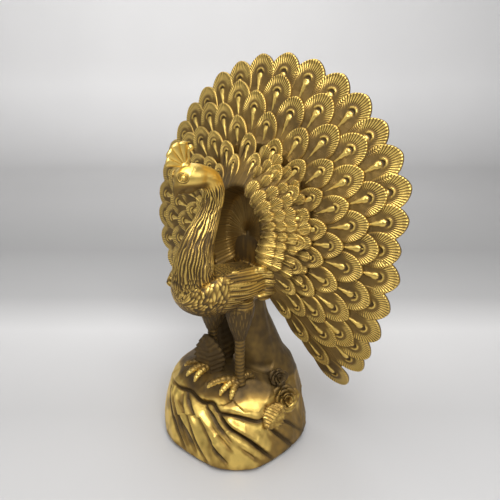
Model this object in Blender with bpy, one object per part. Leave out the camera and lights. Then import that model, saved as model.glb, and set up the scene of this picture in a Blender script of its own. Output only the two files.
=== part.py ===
"""Cast brass peacock with its tail spread, standing on a rock. Metres, +Z up, the bird faces -Y."""

import math

import bmesh
import bpy
from mathutils import Vector

# Sizes in metres
FAN_RADIUS = 0.1225  # fan centre to the tips of the outer feathers
FAN_CENTRE_HEIGHT = 0.1715  # fan centre above the underside of the rock
FAN_CENTRE_BACK = 0.0060  # fan centre behind the middle of the whole figure
FAN_LEAN = 5.5  # degrees the fan leans back
FAN_HALF_ANGLE = 150.0  # degrees from the top to the lower edge of the fan on each side
FAN_PLATE = 0.0036  # thickness of the plate that carries the feathers
FEATHER_PITCH = 10.0  # degrees between neighbouring feathers of the outer edge
FEATHER_STEP = 0.0024  # how far a feather tip stands above the plate
FEATHER_TIP_THICKNESS = 0.0022  # thickness of a feather tip at the rim
EYE_RISE = 0.0013  # how far the drop on each feather stands up
NICHE_HALF_WIDTH = 0.0245  # the hollow behind the neck
NICHE_HALF_HEIGHT = 0.0370
NICHE_DEPTH = 0.0125  # lip of the hollow in front of the plate
NICHE_FLOOR = 0.0060  # floor of the hollow behind the fan's front
NICHE_FLARE = 0.0300  # width of the slope round the hollow
SCALE_LEAVES = 10
ROCK_HEIGHT = 0.0605  # top of the rock, under the feet
ROCK_HALF_WIDTH = 0.0545
ROCK_FRONT = 0.0550  # from the fan centre forward to the foot of the rock
ROCK_BACK = 0.0540
ROCK_ASIDE = -0.0070  # middle of the rock to the side of the fan centre
ROCK_SQUARENESS = 2.5  # 2 is an oval foot, more is squarer
GROOVE_WIDTH = 0.0075  # width of the grooves between the layers of the rock
GROOVE_DEPTH = 0.0040
SHANK_RADIUS = 0.0031
TOE_RADIUS = 0.0024
TOE_LENGTH = 0.0170
TIDY_ANGLES = (2.0, 1.7, 1.4, 1.1, 0.8, 0.5, 0.3)  # degrees
WING_THICKNESS = 0.0062
ROSE_RADIUS = 0.0112
CREST_KNOB = 0.0025

# The rim's shape and the sweep of the fan, as shares of its radius
RIM = (
    (-152, 1.090), (-145, 1.060), (-135, 1.010), (-115, 0.955), (-95, 0.952), (-75, 0.966), (-55, 0.972), (-35, 0.987),
    (-15, 1.013), (5, 1.036), (25, 1.028), (45, 0.998), (65, 0.980), (75, 0.942), (85, 0.910), (95, 0.925),
    (105, 0.930), (115, 0.950), (125, 0.980), (135, 1.034), (145, 1.095), (152, 1.130),
)  # degrees from the top, share
SWEEP_SLOPE = 0.058
SWEEP_BOWL = 0.211
SWEEP_WAVES = (-0.070, 0.047, -0.041)

# Rows of eye feathers: tip radius as a share of the rim, half-pitch offset, length and half width as shares,
# and the angle from the top that the row reaches
ROWS = (
    (1.000, 0, 0.19, 0.098, 146.0),
    (1.003, 1, 0.24, 0.098, 146.0),
    (0.887, 0, 0.24, 0.094, 136.0),
    (0.806, 1, 0.25, 0.088, 136.0),
    (0.691, 0, 0.24, 0.076, 136.0),
    (0.575, 1, 0.21, 0.064, 136.0),
    (0.470, 0, 0.17, 0.052, 136.0),
)

R = FAN_RADIUS


def place(x, y, z):
    """A point given in fan radii from the fan centre."""
    return Vector((x * R, y * R + FAN_CENTRE_BACK, z * R + FAN_CENTRE_HEIGHT))


def loft(rings):
    """A closed shape through rings of equal count, its ends filled with one face each."""
    count = len(rings[0])
    verts = [p for ring in rings for p in ring]
    faces = [tuple(reversed(range(count)))]
    for i in range(len(rings) - 1):
        for j in range(count):
            k = (j + 1) % count
            a = i * count
            b = a + count
            faces.append((a + j, a + k, b + k, b + j))
    last = (len(rings) - 1) * count
    faces.append(tuple(range(last, last + count)))
    return verts, faces


def section(centre, side, front, half_side, half_front, count, turn=0.0):
    """An oval ring round a centre."""
    ring = []
    for i in range(count):
        a = 2 * math.pi * (i + turn) / count
        ring.append(centre + side * (half_side * math.cos(a)) + front * (half_front * math.sin(a)))
    return ring


def tube(points, sizes, count, side=None):
    """A closed tube along a path, with an oval section at each point."""
    rings = []
    for i, point in enumerate(points):
        ahead = points[min(i + 1, len(points) - 1)] - points[max(i - 1, 0)]
        ahead.normalize()
        across = side if side is not None else Vector((1, 0, 0))
        if abs(ahead.dot(across)) > 0.9:
            across = Vector((0, 1, 0))
        across = (across - ahead * across.dot(ahead)).normalized()
        other = ahead.cross(across)
        size = sizes[i]
        wide, deep = size if isinstance(size, tuple) else (size, size)
        rings.append(section(point, across, other, wide, deep, count))
    return loft(rings)


def ball(centre, axes, rings, count):
    """A closed oval ball; axes are three vectors that hold its half sizes."""
    long, side, up = axes
    found = [[centre - long]]
    for i in range(1, rings):
        a = math.pi * i / rings
        mid = centre - long * math.cos(a)
        s = math.sin(a)
        found.append([mid + (side * math.cos(2 * math.pi * j / count) + up * math.sin(2 * math.pi * j / count)) * s for j in range(count)])
    found.append([centre + long])
    verts = [p for ring in found for p in ring]
    faces = []
    for j in range(count):
        faces.append((0, 1 + (j + 1) % count, 1 + j))
    for i in range(rings - 2):
        a = 1 + i * count
        for j in range(count):
            k = (j + 1) % count
            faces.append((a + j, a + k, a + count + k, a + count + j))
    end = len(verts) - 1
    a = end - count
    for j in range(count):
        faces.append((a + j, a + (j + 1) % count, end))
    return verts, faces


# The fan

LEAN = math.radians(FAN_LEAN)
FAN_UP = Vector((0, math.sin(LEAN), math.cos(LEAN)))
FAN_BACK = Vector((0, math.cos(LEAN), -math.sin(LEAN)))
FAN_SIDE = Vector((1, 0, 0))


def along(table, x):
    """The value at x on straight lines through the (place, value) pairs of a table."""
    x = max(table[0][0], min(table[-1][0], x))
    i = 0
    while i < len(table) - 2 and x > table[i + 1][0]:
        i += 1
    low, high = table[i], table[i + 1]
    return low[1] + (high[1] - low[1]) * (x - low[0]) / (high[0] - low[0])


def rim(theta):
    return R * along(RIM, math.degrees(theta))


def lip(theta):
    c = math.cos(theta) / NICHE_HALF_HEIGHT
    s = math.sin(theta) / NICHE_HALF_WIDTH
    return 1 / math.hypot(c, s)


def sweep(r, theta):
    """How far back the fan's front lies at a distance from its centre."""
    bowl = SWEEP_BOWL + sum(w * math.cos((n + 1) * theta) for n, w in enumerate(SWEEP_WAVES))
    return SWEEP_SLOPE * r + bowl * r * r / R


def collar(r, theta):
    """How far forward the slope round the hollow stands."""
    t = 1 - (r - lip(theta)) / NICHE_FLARE
    return NICHE_DEPTH * max(0.0, min(1.0, t)) ** 1.5


def fan_point(r, theta, height=0.0, raised=True):
    """A point on the fan's front, moved along its forward direction."""
    back = sweep(r, theta) - height
    if raised:
        back -= collar(r, theta)
    across = FAN_SIDE * (r * math.sin(theta)) + FAN_UP * (r * math.cos(theta))
    return place(0, 0, 0) + across + FAN_BACK * back


def fan_plate(columns=18):
    """The plate behind the feathers, with the raised slope and the hollow at its middle."""
    half = math.radians(FAN_HALF_ANGLE)
    thetas = [-half + 2 * half * i / columns for i in range(columns + 1)]
    verts = []
    counts = []
    for theta in thetas:
        edge = rim(theta)
        inner = lip(theta)
        front = [
            fan_point(0.90 * edge, theta, -0.0006),
            fan_point(0.62 * edge, theta, -0.0006),
            fan_point(inner + NICHE_FLARE, theta, -0.0006),
            fan_point(inner + 0.55 * NICHE_FLARE, theta, -0.0002),
            fan_point(inner + 0.22 * NICHE_FLARE, theta),
            fan_point(inner, theta),
            fan_point(0.90 * inner, theta, 0.50 * NICHE_DEPTH, False),
            fan_point(0.80 * inner, theta, -NICHE_FLOOR, False),
        ]
        back = [
            fan_point(0.10 * edge, theta, -FAN_PLATE - NICHE_FLOOR - 0.001, False),
            fan_point(0.32 * edge, theta, -FAN_PLATE - NICHE_FLOOR, False),
            fan_point(0.62 * edge, theta, -FAN_PLATE, False),
            fan_point(0.90 * edge, theta, -FAN_PLATE, False),
        ]
        counts.append(len(front) + len(back))
        verts += front + back
    n = counts[0]
    verts.append(fan_point(0.0, 0.0, -NICHE_FLOOR, False))
    verts.append(fan_point(0.0, 0.0, -FAN_PLATE - NICHE_FLOOR - 0.001, False))
    mid_front = len(verts) - 2
    mid_back = len(verts) - 1
    last_front = 7
    faces = []
    for i in range(columns):
        a = i * n
        b = a + n
        for j in range(n):
            k = (j + 1) % n
            if j == last_front:
                faces.append((a + j, b + j, mid_front))
                faces.append((b + k, a + k, mid_back))
            else:
                faces.append((a + j, b + j, b + k, a + k))
    for a, flip in ((0, False), (columns * n, True)):
        ring = [a + j for j in range(last_front + 1)] + [mid_front, mid_back] + [a + j for j in range(last_front + 1, n)]
        faces.append(tuple(ring) if not flip else tuple(reversed(ring)))
    return verts, faces


# Feather outlines: share of the length in from the tip, share of the half width
RIM_OUTLINE = ((0.07, 0.42), (0.21, 0.78), (0.46, 1.00), (1.00, 0.70))
MIDDLE_OUTLINE = ((0.10, 0.56), (0.34, 0.96), (0.70, 0.94), (1.00, 0.60))
INNER_OUTLINE = ((0.15, 0.68), (0.50, 1.00), (1.00, 0.60))
# The drop on a feather: where it starts, is widest and ends, in fan radii from the tip, and its half width
DROP = (0.098, 0.138, 0.205, 0.024)


def eye_feather(theta, tip, length, half_width, row):
    """One feather: a leaf-shaped slab with a raised drop, its root sunk in the plate."""
    overhang = row < 2
    points = RIM_OUTLINE if overhang else MIDDLE_OUTLINE if row < 4 else INNER_OUTLINE
    small = min(1.0, half_width / (0.098 * R))
    # Points are (distance in from the tip, distance across, height)
    def lifted(u, extra=0.0):
        return FEATHER_STEP * (1 - 1.35 * u / length) + extra

    def at(u, v, h):
        r = tip - u
        return fan_point(r, theta + v / max(r, 0.2 * R), h)

    left = [(t * length, -w * half_width) for t, w in points]
    right = [(t * length, w * half_width) for t, w in reversed(points)]
    outline = [(0.0, 0.0)] + left + right
    top = [at(u, v, lifted(u)) for u, v in outline]
    low = []
    for u, v in outline:
        floor = -0.0016
        if overhang:
            floor = max(floor, lifted(u) - FEATHER_TIP_THICKNESS - 0.9 * u / length * FAN_PLATE)
        low.append(at(u, v, floor))
    start, widest, end, broad = (d * R * small for d in DROP)
    end = min(end, 0.90 * length)
    drop = [(start, 0.0), (widest, -broad), (end, 0.0), (widest, broad)]
    n = len(outline)
    walls = [tuple(reversed(range(n, 2 * n)))]
    for j in range(n):
        k = (j + 1) % n
        walls.append((j, n + j, n + k, k))
    if row in (0, 6):
        # The next row covers the drop of the outer ones, and the inner ones are small, so they stay plain
        m = len(points)
        plain = [(0, 1, n - 1)] + [(j, j + 1, n - j - 1, n - j) for j in range(1, m)] + [(m, m + 1, m + 1)]
        return top + low, walls + [face for face in plain if len(set(face)) > 2]
    dished = [at(u, v, lifted(u, -0.0005)) for u, v in drop]
    peak = at(widest, 0.0, lifted(widest, EYE_RISE * (0.5 + 0.5 * small)))
    verts = top + low + dished + [peak]
    d = 2 * n
    p = d + 4
    faces = walls
    # The vane between its edge and the drop
    m = len(points)
    faces.append((0, 1, d))
    faces.append((n - 1, 0, d))
    faces.append((1, 2, d + 1, d))
    faces.append((n - 2, n - 1, d, d + 3))
    for j in range(2, m - 1):
        faces.append((j, j + 1, d + 1))
        faces.append((n - j - 1, n - j, d + 3))
    faces.append((m - 1, m, d + 2, d + 1))
    faces.append((n - m, n - m + 1, d + 3, d + 2))
    faces.append((m, m + 1, d + 2))
    for j in range(4):
        faces.append((d + j, d + (j + 1) % 4, p))
    return verts, faces


# How far the feathers near the lower edge fan out from the even pitch, in degrees
SPREAD = ((0, 0), (95, 0), (105, -1.5), (115, -2.6), (125, -2.6), (135, 0.0), (145, 3.0))
# The feathers along the lower edge: tip radius as a share of the fan's radius, and length as a share
EDGE_ANGLE = 147.0
EDGE_FEATHERS = ((0.935, 0.24), (0.745, 0.21), (0.570, 0.17))


def fan_feathers():
    shapes = []
    for share, length in EDGE_FEATHERS:
        for side in (-1, 1):
            shapes.append(eye_feather(side * math.radians(EDGE_ANGLE), share * R, length * R, 0.29 * length * R, 4))
    for row, (share, offset, length, half_width, reach) in enumerate(ROWS):
        k = -30
        while k <= 30:
            angle = FEATHER_PITCH * (k + 0.5)
            if k % 2 == offset and abs(angle) <= reach:
                theta = math.radians(angle + math.copysign(along(SPREAD, abs(angle)), angle))
                edge = rim(theta)
                shapes.append(eye_feather(theta, share * edge, length * R, half_width * R, row))
            k += 1
    return shapes


def scale_feathers():
    """Small ribbed leaves on the slope round the hollow."""
    shapes = []
    for i in range(SCALE_LEAVES):
        theta = math.radians(-138 + 276 * (i + 0.5) / SCALE_LEAVES)
        tip = lip(theta) + 0.66 * NICHE_FLARE
        shapes.append(small_leaf(theta, tip, 0.0150, 0.0058))
    return shapes


def small_leaf(theta, tip, length, half_width):
    def at(u, v, h):
        r = tip - u
        return fan_point(r, theta + v / r, h)

    outline = ((0.0, 0.0), (0.22, -0.75), (0.62, -0.85), (1.0, 0.0), (0.62, 0.85), (0.22, 0.75))
    top = [at(t * length, w * half_width, 0.0016 * (1 - 1.2 * t)) for t, w in outline]
    low = [at(t * length, w * half_width, -0.0020) for t, w in outline]
    n = len(outline)
    verts = top + low + [at(0.4 * length, 0.0, 0.0019)]
    faces = [tuple(reversed(range(n, 2 * n)))]
    for j in range(n):
        k = (j + 1) % n
        faces.append((j, n + j, n + k, k))
        faces.append((j, k, 2 * n))
    return verts, faces


# The bird

# Along the body: y, z of the middle, half width, half height, in fan radii
BODY = (
    (0.260, -0.360, 0.050, 0.045),
    (0.160, -0.335, 0.120, 0.100),
    (0.000, -0.312, 0.155, 0.130),
    (-0.150, -0.288, 0.168, 0.140),
    (-0.290, -0.258, 0.168, 0.142),
    (-0.400, -0.225, 0.150, 0.138),
    (-0.490, -0.188, 0.112, 0.112),
    (-0.548, -0.160, 0.050, 0.055),
)

# Up the neck: y, z of the middle, half width, half depth
NECK = (
    (-0.375, -0.230, 0.135, 0.140),
    (-0.408, -0.120, 0.122, 0.132),
    (-0.402, -0.030, 0.106, 0.118),
    (-0.362, 0.060, 0.088, 0.094),
    (-0.310, 0.140, 0.072, 0.076),
    (-0.262, 0.225, 0.062, 0.064),
    (-0.240, 0.310, 0.060, 0.062),
    (-0.264, 0.378, 0.062, 0.062),
    (-0.320, 0.412, 0.064, 0.062),
    (-0.385, 0.420, 0.064, 0.062),
)
HEAD_TURN = math.radians(-10)
HEAD_PIVOT = (-0.30, 0.41)


def turned(x, y, z):
    """A point of the head, turned about the top of the neck."""
    dy = y - HEAD_PIVOT[0]
    c, s = math.cos(HEAD_TURN), math.sin(HEAD_TURN)
    return place(x * c - dy * s, HEAD_PIVOT[0] + x * s + dy * c, z)


def head_vector(x, y, z):
    return turned(x, HEAD_PIVOT[0] + y, z) - turned(0, HEAD_PIVOT[0], 0)


def body():
    rings = []
    for y, z, wide, high in BODY:
        rings.append(section(place(0, y, z), Vector((1, 0, 0)), Vector((0, 0, -1)), wide * R, high * R, 14))
    return loft(rings)


def neck():
    rings = []
    count = len(NECK)
    for i, (y, z, wide, deep) in enumerate(NECK):
        a = NECK[max(i - 1, 0)]
        b = NECK[min(i + 1, count - 1)]
        ahead = Vector((0, b[0] - a[0], b[1] - a[1])).normalized()
        across = Vector((0, -ahead.z, ahead.y))
        centre = turned(0, y, z) if i > count - 4 else place(0, y, z)
        side = Vector((1, 0, 0))
        if i > count - 3:
            side = head_vector(1, 0, 0).normalized()
            across = Vector((side.y * -ahead.z, side.x * -ahead.z, ahead.y)).normalized()
        rings.append(section(centre, side, across, wide * R, deep * R, 12))
    return loft(rings)


def rump():
    """The bird's back where it runs up into the fan, behind the hollow."""
    return ball(place(0, 0.120, -0.150), (Vector((0, 0.085 * R, 0)), Vector((0.185 * R, 0, 0)), Vector((0, 0, 0.230 * R))), 4, 10)


def head():
    shapes = []
    middle = turned(0, -0.400, 0.420)
    shapes.append(ball(middle, (head_vector(0, -0.082, 0.010), head_vector(0.068, 0, 0), head_vector(0, 0.01, 0.072)), 7, 12))
    # The beak hooks down
    bill = [turned(0, y, z) for y, z in ((-0.435, 0.420), (-0.464, 0.392), (-0.480, 0.356), (-0.481, 0.320))]
    shapes.append(tube(bill, [(0.040 * R, 0.040 * R), (0.030 * R, 0.030 * R), (0.019 * R, 0.018 * R), (0.005 * R, 0.005 * R)], 8))
    for side in (-1, 1):
        eye = turned(side * 0.048, -0.455, 0.444)
        shapes.append(ball(eye, (head_vector(side * 0.016, 0, 0), head_vector(0, -0.017, 0), head_vector(0, 0, 0.015)), 4, 6))
    return shapes


# Each plume of the crest: degrees up from straight ahead and length
CREST = ((22.0, 0.0117), (43.0, 0.0127), (67.0, 0.0132), (89.0, 0.0124), (112.0, 0.0118))


def crest():
    """A flat fan of thin plumes with round ends, on the forehead."""
    shapes = []
    root = (-0.416, 0.476)
    for angle, length in CREST:
        a = math.radians(angle)
        reach = length / R
        dy, dz = -math.cos(a), math.sin(a)
        points = [turned(0, root[0] + dy * t * reach, root[1] + dz * t * reach) for t in (0.0, 0.92)]
        shapes.append(tube(points, [(0.0016, 0.0014), (0.0013, 0.0017)], 5))
        knob = turned(0, root[0] + dy * reach, root[1] + dz * reach)
        shapes.append(ball(knob, (head_vector(0, dy, dz) * (1.25 * CREST_KNOB / R), head_vector(1, 0, 0) * (0.85 * CREST_KNOB / R), head_vector(0, -dz, dy) * (CREST_KNOB / R)), 3, 6))
    web = [turned(0, root[0] - 0.01, root[1] - 0.02)]
    shapes.append(ball(web[0], (head_vector(0, -0.034, 0), head_vector(0.014, 0, 0), head_vector(0, 0, 0.034)), 4, 6))
    return shapes


# Along a wing: x, y, z of the middle and half height, in fan radii
WING = (
    (0.105, -0.470, -0.175, 0.030),
    (0.145, -0.400, -0.180, 0.072),
    (0.172, -0.270, -0.190, 0.098),
    (0.184, -0.130, -0.205, 0.096),
    (0.192, -0.010, -0.215, 0.076),
    (0.194, 0.060, -0.215, 0.030),
)
QUILLS = ((0.040, 0.055), (0.010, 0.020), (-0.030, -0.018), (-0.080, -0.052))


def wing(side):
    """A folded wing: a flat shape along the flank that ends in rounded quills."""
    shapes = []
    points = [place(side * x, y, z) for x, y, z, high in WING]
    last = len(WING) - 1
    sizes = [(WING_THICKNESS * (0.5 if i in (0, last) else 1.0), WING[i][3] * R) for i in range(last + 1)]
    shapes.append(tube(points, sizes, 8))
    for start, rise in QUILLS:
        path = ((0.196, -0.090, -0.212), (0.210, 0.010, -0.215), (0.206, 0.075, -0.212))
        quill = [place(side * x, y + start, z + rise) for x, y, z in path]
        shapes.append(tube(quill, [(0.0022, 0.0030), (0.0032, 0.0038), (0.0018, 0.0022)], 5))
    return shapes


# Feet: ankle, then the ends of the toes, in fan radii
FEET = (
    ((0.105, -0.155, -0.900), ((0.030, -0.330, -0.868), (0.085, -0.295, -0.935), (0.150, -0.255, -0.950), (0.135, -0.055, -0.915))),
    ((-0.110, -0.165, -0.880), ((-0.215, -0.275, -0.868), (-0.165, -0.315, -0.895), (-0.105, -0.310, -0.905), (-0.125, -0.060, -0.905))),
)


def legs():
    shapes = []
    for ankle, toes in FEET:
        x, y, z = ankle
        hip = place(0.85 * x, y + 0.03, -0.385)
        thigh = [hip, place(0.90 * x, y + 0.02, -0.46), place(0.96 * x, y + 0.01, -0.55), place(x, y + 0.005, -0.63)]
        shapes.append(tube(thigh, [0.0100, 0.0108, 0.0078, 0.0044], 8))
        shank = [place(x, y + 0.005, -0.60), place(x, y, -0.75), place(x, y, -0.88), place(x, y, -0.93)]
        shapes.append(tube(shank, [SHANK_RADIUS * 1.05, SHANK_RADIUS * 0.95, SHANK_RADIUS * 1.15, SHANK_RADIUS * 1.15], 8))
        for tx, ty, tz in toes:
            start = Vector((x, y, z - 0.005))
            end = Vector((tx, ty, tz))
            way = (end - start).normalized() * (TOE_LENGTH / R)
            points = [place(*start), place(*(start + way * 0.45 + Vector((0, 0, 0.022)))), place(*(start + way * 0.85 + Vector((0, 0, 0.008)))), place(*(start + way * 1.08 + Vector((0, 0, -0.030))))]
            shapes.append(tube(points, [TOE_RADIUS * 1.1, TOE_RADIUS, TOE_RADIUS * 0.8, TOE_RADIUS * 0.30], 5))
    return shapes


# The rock

# Levels of the rock: height share, size, shift across and back
LEVELS = (
    (0.00, 0.965, 0.000, 0.000),
    (0.06, 1.000, 0.000, 0.000),
    (0.28, 0.985, -0.001, 0.001),
    (0.52, 0.940, -0.002, 0.002),
    (0.74, 0.880, -0.004, 0.003),
    (0.89, 0.740, -0.006, 0.005),
    (1.00, 0.480, -0.008, 0.004),
)
WOBBLES = ((0.03, -0.02, 0.02, -0.03, 0.01, 0.03, -0.03, 0.00, 0.02), (-0.03, 0.04, -0.02, 0.02, -0.04, 0.03, 0.01, -0.03, 0.02))
# Up the pillar: x, y, z of the middle, half width, half depth, in fan radii
PILLAR = (
    (0.060, 0.200, -1.150, 0.260, 0.200),
    (0.060, 0.170, -1.000, 0.190, 0.185),
    (0.045, 0.135, -0.860, 0.145, 0.170),
    (0.020, 0.090, -0.700, 0.118, 0.160),
    (0.005, 0.060, -0.550, 0.100, 0.132),
    (0.000, 0.050, -0.400, 0.080, 0.112),
    (0.000, 0.050, -0.320, 0.065, 0.090),
)


def rock_point(angle, level, grow=0.0):
    """A point on the rock's side at an angle seen from above, 0 is to +X and -90 degrees is to the front."""
    levels = LEVELS
    i = 0
    while i < len(levels) - 2 and level > levels[i + 1][0]:
        i += 1
    t = (level - levels[i][0]) / (levels[i + 1][0] - levels[i][0])
    size, over, back = (levels[i][j] + (levels[i + 1][j] - levels[i][j]) * t for j in (1, 2, 3))
    c, s = math.cos(angle), math.sin(angle)
    reach = (abs(c) ** ROCK_SQUARENESS + abs(s) ** ROCK_SQUARENESS) ** (-1 / ROCK_SQUARENESS)
    wide = ROCK_HALF_WIDTH * c * reach
    deep = (ROCK_FRONT if s < 0 else ROCK_BACK) * s * reach
    return Vector((wide * size + over + grow * c + ROCK_ASIDE, deep * size + back + grow * s + FAN_CENTRE_BACK, level * ROCK_HEIGHT))


# The grooves between the layers: (degrees round, level, width share) along each
GROOVES = (
    ((-118, 0.80, 0.4), (-99, 0.81, 0.9), (-83, 0.79, 1.2), (-70, 0.79, 1.1), (-58, 0.74, 1.0), (-42, 0.69, 0.9), (-26, 0.61, 0.8), (-15, 0.36, 0.9), (2, 0.10, 0.3)),
    ((-66, 0.76, 0.4), (-58, 0.64, 1.0), (-46, 0.50, 1.1), (-35, 0.37, 1.0), (-20, 0.10, 0.3)),
    ((-106, 0.80, 0.5), (-92, 0.66, 1.1), (-80, 0.55, 1.2), (-70, 0.38, 1.1), (-60, 0.16, 0.4)),
    ((-112, 0.72, 0.4), (-96, 0.50, 1.0), (-84, 0.24, 0.9), (-76, 0.08, 0.3)),
    ((-126, 0.72, 0.4), (-110, 0.46, 1.0), (-96, 0.18, 0.4)),
    ((-170, 0.74, 0.4), (-150, 0.56, 1.0), (-132, 0.26, 0.9), (-122, 0.08, 0.3)),
    ((140, 0.62, 0.4), (116, 0.40, 1.0), (96, 0.14, 0.4)),
)


def groove(path):
    """A cutter with three sides that follows the rock's surface."""
    points = [rock_point(math.radians(a), level) for a, level, share in path]
    rings = []
    for i, (a, level, share) in enumerate(path):
        out = outward(a, level)[1]
        ahead = (points[min(i + 1, len(points) - 1)] - points[max(i - 1, 0)]).normalized()
        across = ahead.cross(out).normalized()
        wide = GROOVE_WIDTH * share
        top = points[i] + out * (0.8 * GROOVE_DEPTH)
        low = points[i] - out * (GROOVE_DEPTH * share)
        rings.append([top + across * wide, top - across * wide, low])
    return loft(rings)


def rock_block():
    count = 16
    rings = []
    for n, (level, size, over, back) in enumerate(LEVELS):
        wobble = WOBBLES[0] if n < 2 else WOBBLES[n % 2]
        rings.append([rock_point(2 * math.pi * i / count, level, wobble[i % 9] * ROCK_HALF_WIDTH * 0.5) for i in range(count)])
    return loft(rings)


def pillar():
    path = [place(x, y, z) for x, y, z, wide, deep in PILLAR]
    return tube(path, [(wide * R, deep * R) for x, y, z, wide, deep in PILLAR], 12)


def outward(around, level):
    """A place on the rock's side with its outward, upward and sideways directions."""
    a = math.radians(around)
    point = rock_point(a, level)
    over = rock_point(a, min(1.0, level + 0.05)) - rock_point(a, max(0.0, level - 0.05))
    along = rock_point(a + 0.08, level) - rock_point(a - 0.08, level)
    up = over.normalized()
    out = along.cross(up).normalized()
    return point, out, up, out.cross(up).normalized()


def rose(centre, out, up, side, radius):
    """A rose of stacked rings of petals."""
    shapes = []
    for share, low, high, turn in ((1.00, -0.80, 0.26, 0.0), (0.72, 0.02, 0.50, 0.5), (0.42, 0.25, 0.68, 0.25)):
        rings = []
        for height, wide in ((low, 0.86), (high, 1.0), (high - 0.10, 0.74)):
            ring = []
            for i in range(7):
                a = 2 * math.pi * (i + turn) / 7
                spread = (side * math.cos(a) + up * math.sin(a)) * (share * wide * radius)
                ring.append(centre + out * (height * radius) + spread)
            rings.append(ring)
        shapes.append(loft(rings))
    return shapes


def serrated_leaf(base, tip, out, width, thick, teeth=4):
    """A leaf with a saw edge and a raised midrib."""
    way = tip - base
    across = way.cross(out).normalized()
    outline = [(0.0, 0.0)]
    for i in range(teeth):
        t = (i + 0.6) / (teeth + 0.4)
        w = math.sin(math.pi * (0.12 + 0.80 * t))
        outline += [(t, w), (t + 0.04, w * 0.80)]
    outline.append((1.0, 0.0))
    outline += [(t, -w) for t, w in reversed(outline[1:-1])]
    top = [base + way * t + across * (w * width) + out * (thick * (0.6 - 0.3 * abs(w))) for t, w in outline]
    low = [base + way * t + across * (w * width * 0.9) - out * thick for t, w in outline]
    n = len(outline)
    mid = base + way * 0.45 + out * thick
    verts = top + low + [mid]
    faces = [tuple(reversed(range(n, 2 * n)))]
    for j in range(n):
        k = (j + 1) % n
        faces.append((j, n + j, n + k, k))
        faces.append((j, k, 2 * n))
    if (top[1] - top[0]).cross(top[2] - top[0]).dot(out) < 0:
        faces = [tuple(reversed(face)) for face in faces]
    return verts, faces


ROSE_PLACE = (0.318, 0.040, -1.045)
LEAF_PLACE = ((0.322, 0.000, -1.105), (0.296, -0.125, -1.170))
BUD_PLACE = (0.225, 0.040, -0.890)
FAR_LEAF = ((-0.125, -0.140, -0.965), (-0.135, -0.190, -0.640))
FLOWER_OUT = Vector((0.80, -0.48, 0.36)).normalized()


def flowers():
    """The rose, its leaf and a bud on the near flank, and the leaf by the far foot."""
    out = FLOWER_OUT
    side = Vector((0, 0, 1)).cross(out).normalized()
    up = out.cross(side).normalized()
    shapes = rose(place(*ROSE_PLACE), out, up, side, ROSE_RADIUS)
    base, tip = (place(*p) for p in LEAF_PLACE)
    shapes.append(serrated_leaf(base, tip, out, 0.0068, 0.0040))
    shapes += rose(place(*BUD_PLACE), out, up, side, 0.74 * ROSE_RADIUS)
    base, tip = (place(*p) for p in FAR_LEAF)
    shapes.append(serrated_leaf(base, tip, Vector((0.35, -0.90, 0.10)).normalized(), 0.0120, 0.0032))
    return shapes


def tidied(mesh):
    """The mesh with its flattest edges dissolved, at the widest angle that leaves it closed."""
    for angle in TIDY_ANGLES:
        trial = bmesh.new()
        trial.from_mesh(mesh)
        bmesh.ops.dissolve_limit(trial, angle_limit=math.radians(angle), verts=trial.verts, edges=trial.edges)
        bmesh.ops.triangulate(trial, faces=trial.faces)
        if all(edge.is_manifold for edge in trial.edges):
            trial.to_mesh(mesh)
            trial.free()
            return mesh
        trial.free()
    return mesh


def solid(name, shape):
    verts, faces = shape
    mesh = bpy.data.meshes.new(name)
    mesh.from_pydata([tuple(v) for v in verts], [], faces)
    flat = bmesh.new()
    flat.from_mesh(mesh)
    bmesh.ops.triangulate(flat, faces=flat.faces)
    bmesh.ops.recalc_face_normals(flat, faces=flat.faces)
    flat.to_mesh(mesh)
    flat.free()
    return bpy.data.objects.new(name, mesh)


def brass():
    material = bpy.data.materials.new("antique_brass")
    material.use_nodes = True
    shader = material.node_tree.nodes["Principled BSDF"]
    shader.inputs["Base Color"].default_value = (0.60, 0.42, 0.15, 1)
    shader.inputs["Metallic"].default_value = 1.0
    shader.inputs["Roughness"].default_value = 0.30
    return material


def group(name, shapes):
    """A collection of helper objects for a Boolean."""
    helpers = bpy.data.collections.new(name)
    bpy.context.scene.collection.children.link(helpers)
    for i, shape in enumerate(shapes):
        helper = solid("%s_%03d" % (name, i), shape)
        helper.hide_render = True
        helper.display_type = "WIRE"
        helpers.objects.link(helper)
    return helpers


def joined(figure, operation, helpers):
    """The figure's mesh after a Boolean with the helpers, which are then removed."""
    join = figure.modifiers.new(operation.lower(), "BOOLEAN")
    join.operation = operation
    join.solver = "EXACT"
    join.operand_type = "COLLECTION"
    join.collection = helpers
    graph = bpy.context.evaluated_depsgraph_get()
    mesh = bpy.data.meshes.new_from_object(figure.evaluated_get(graph))
    figure.modifiers.clear()
    for helper in list(helpers.objects):
        bpy.data.objects.remove(helper)
    bpy.data.collections.remove(helpers)
    return mesh


def main():
    for old in list(bpy.data.objects):
        bpy.data.objects.remove(old)
    figure = solid("peacock_figurine", rock_block())
    bpy.context.scene.collection.objects.link(figure)
    figure.data = joined(figure, "DIFFERENCE", group("groove", [groove(path) for path in GROOVES]))
    shapes = [fan_plate()] + fan_feathers() + scale_feathers() + [body(), neck(), rump()] + head() + crest()
    shapes += wing(1) + wing(-1) + legs() + [pillar()] + flowers()
    figure.data = tidied(joined(figure, "UNION", group("shape", shapes)))
    figure.data.materials.clear()
    figure.data.materials.append(brass())


if __name__ == "__main__":
    main()
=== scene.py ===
"""Cast brass peacock with its tail spread, on a rock with roses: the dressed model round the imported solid.

It is laid out as an add-on and run as a script: main registers the classes and calls the operators in order.
"""

import math

import bmesh
import bpy
import numpy as np
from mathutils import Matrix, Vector, noise


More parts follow.
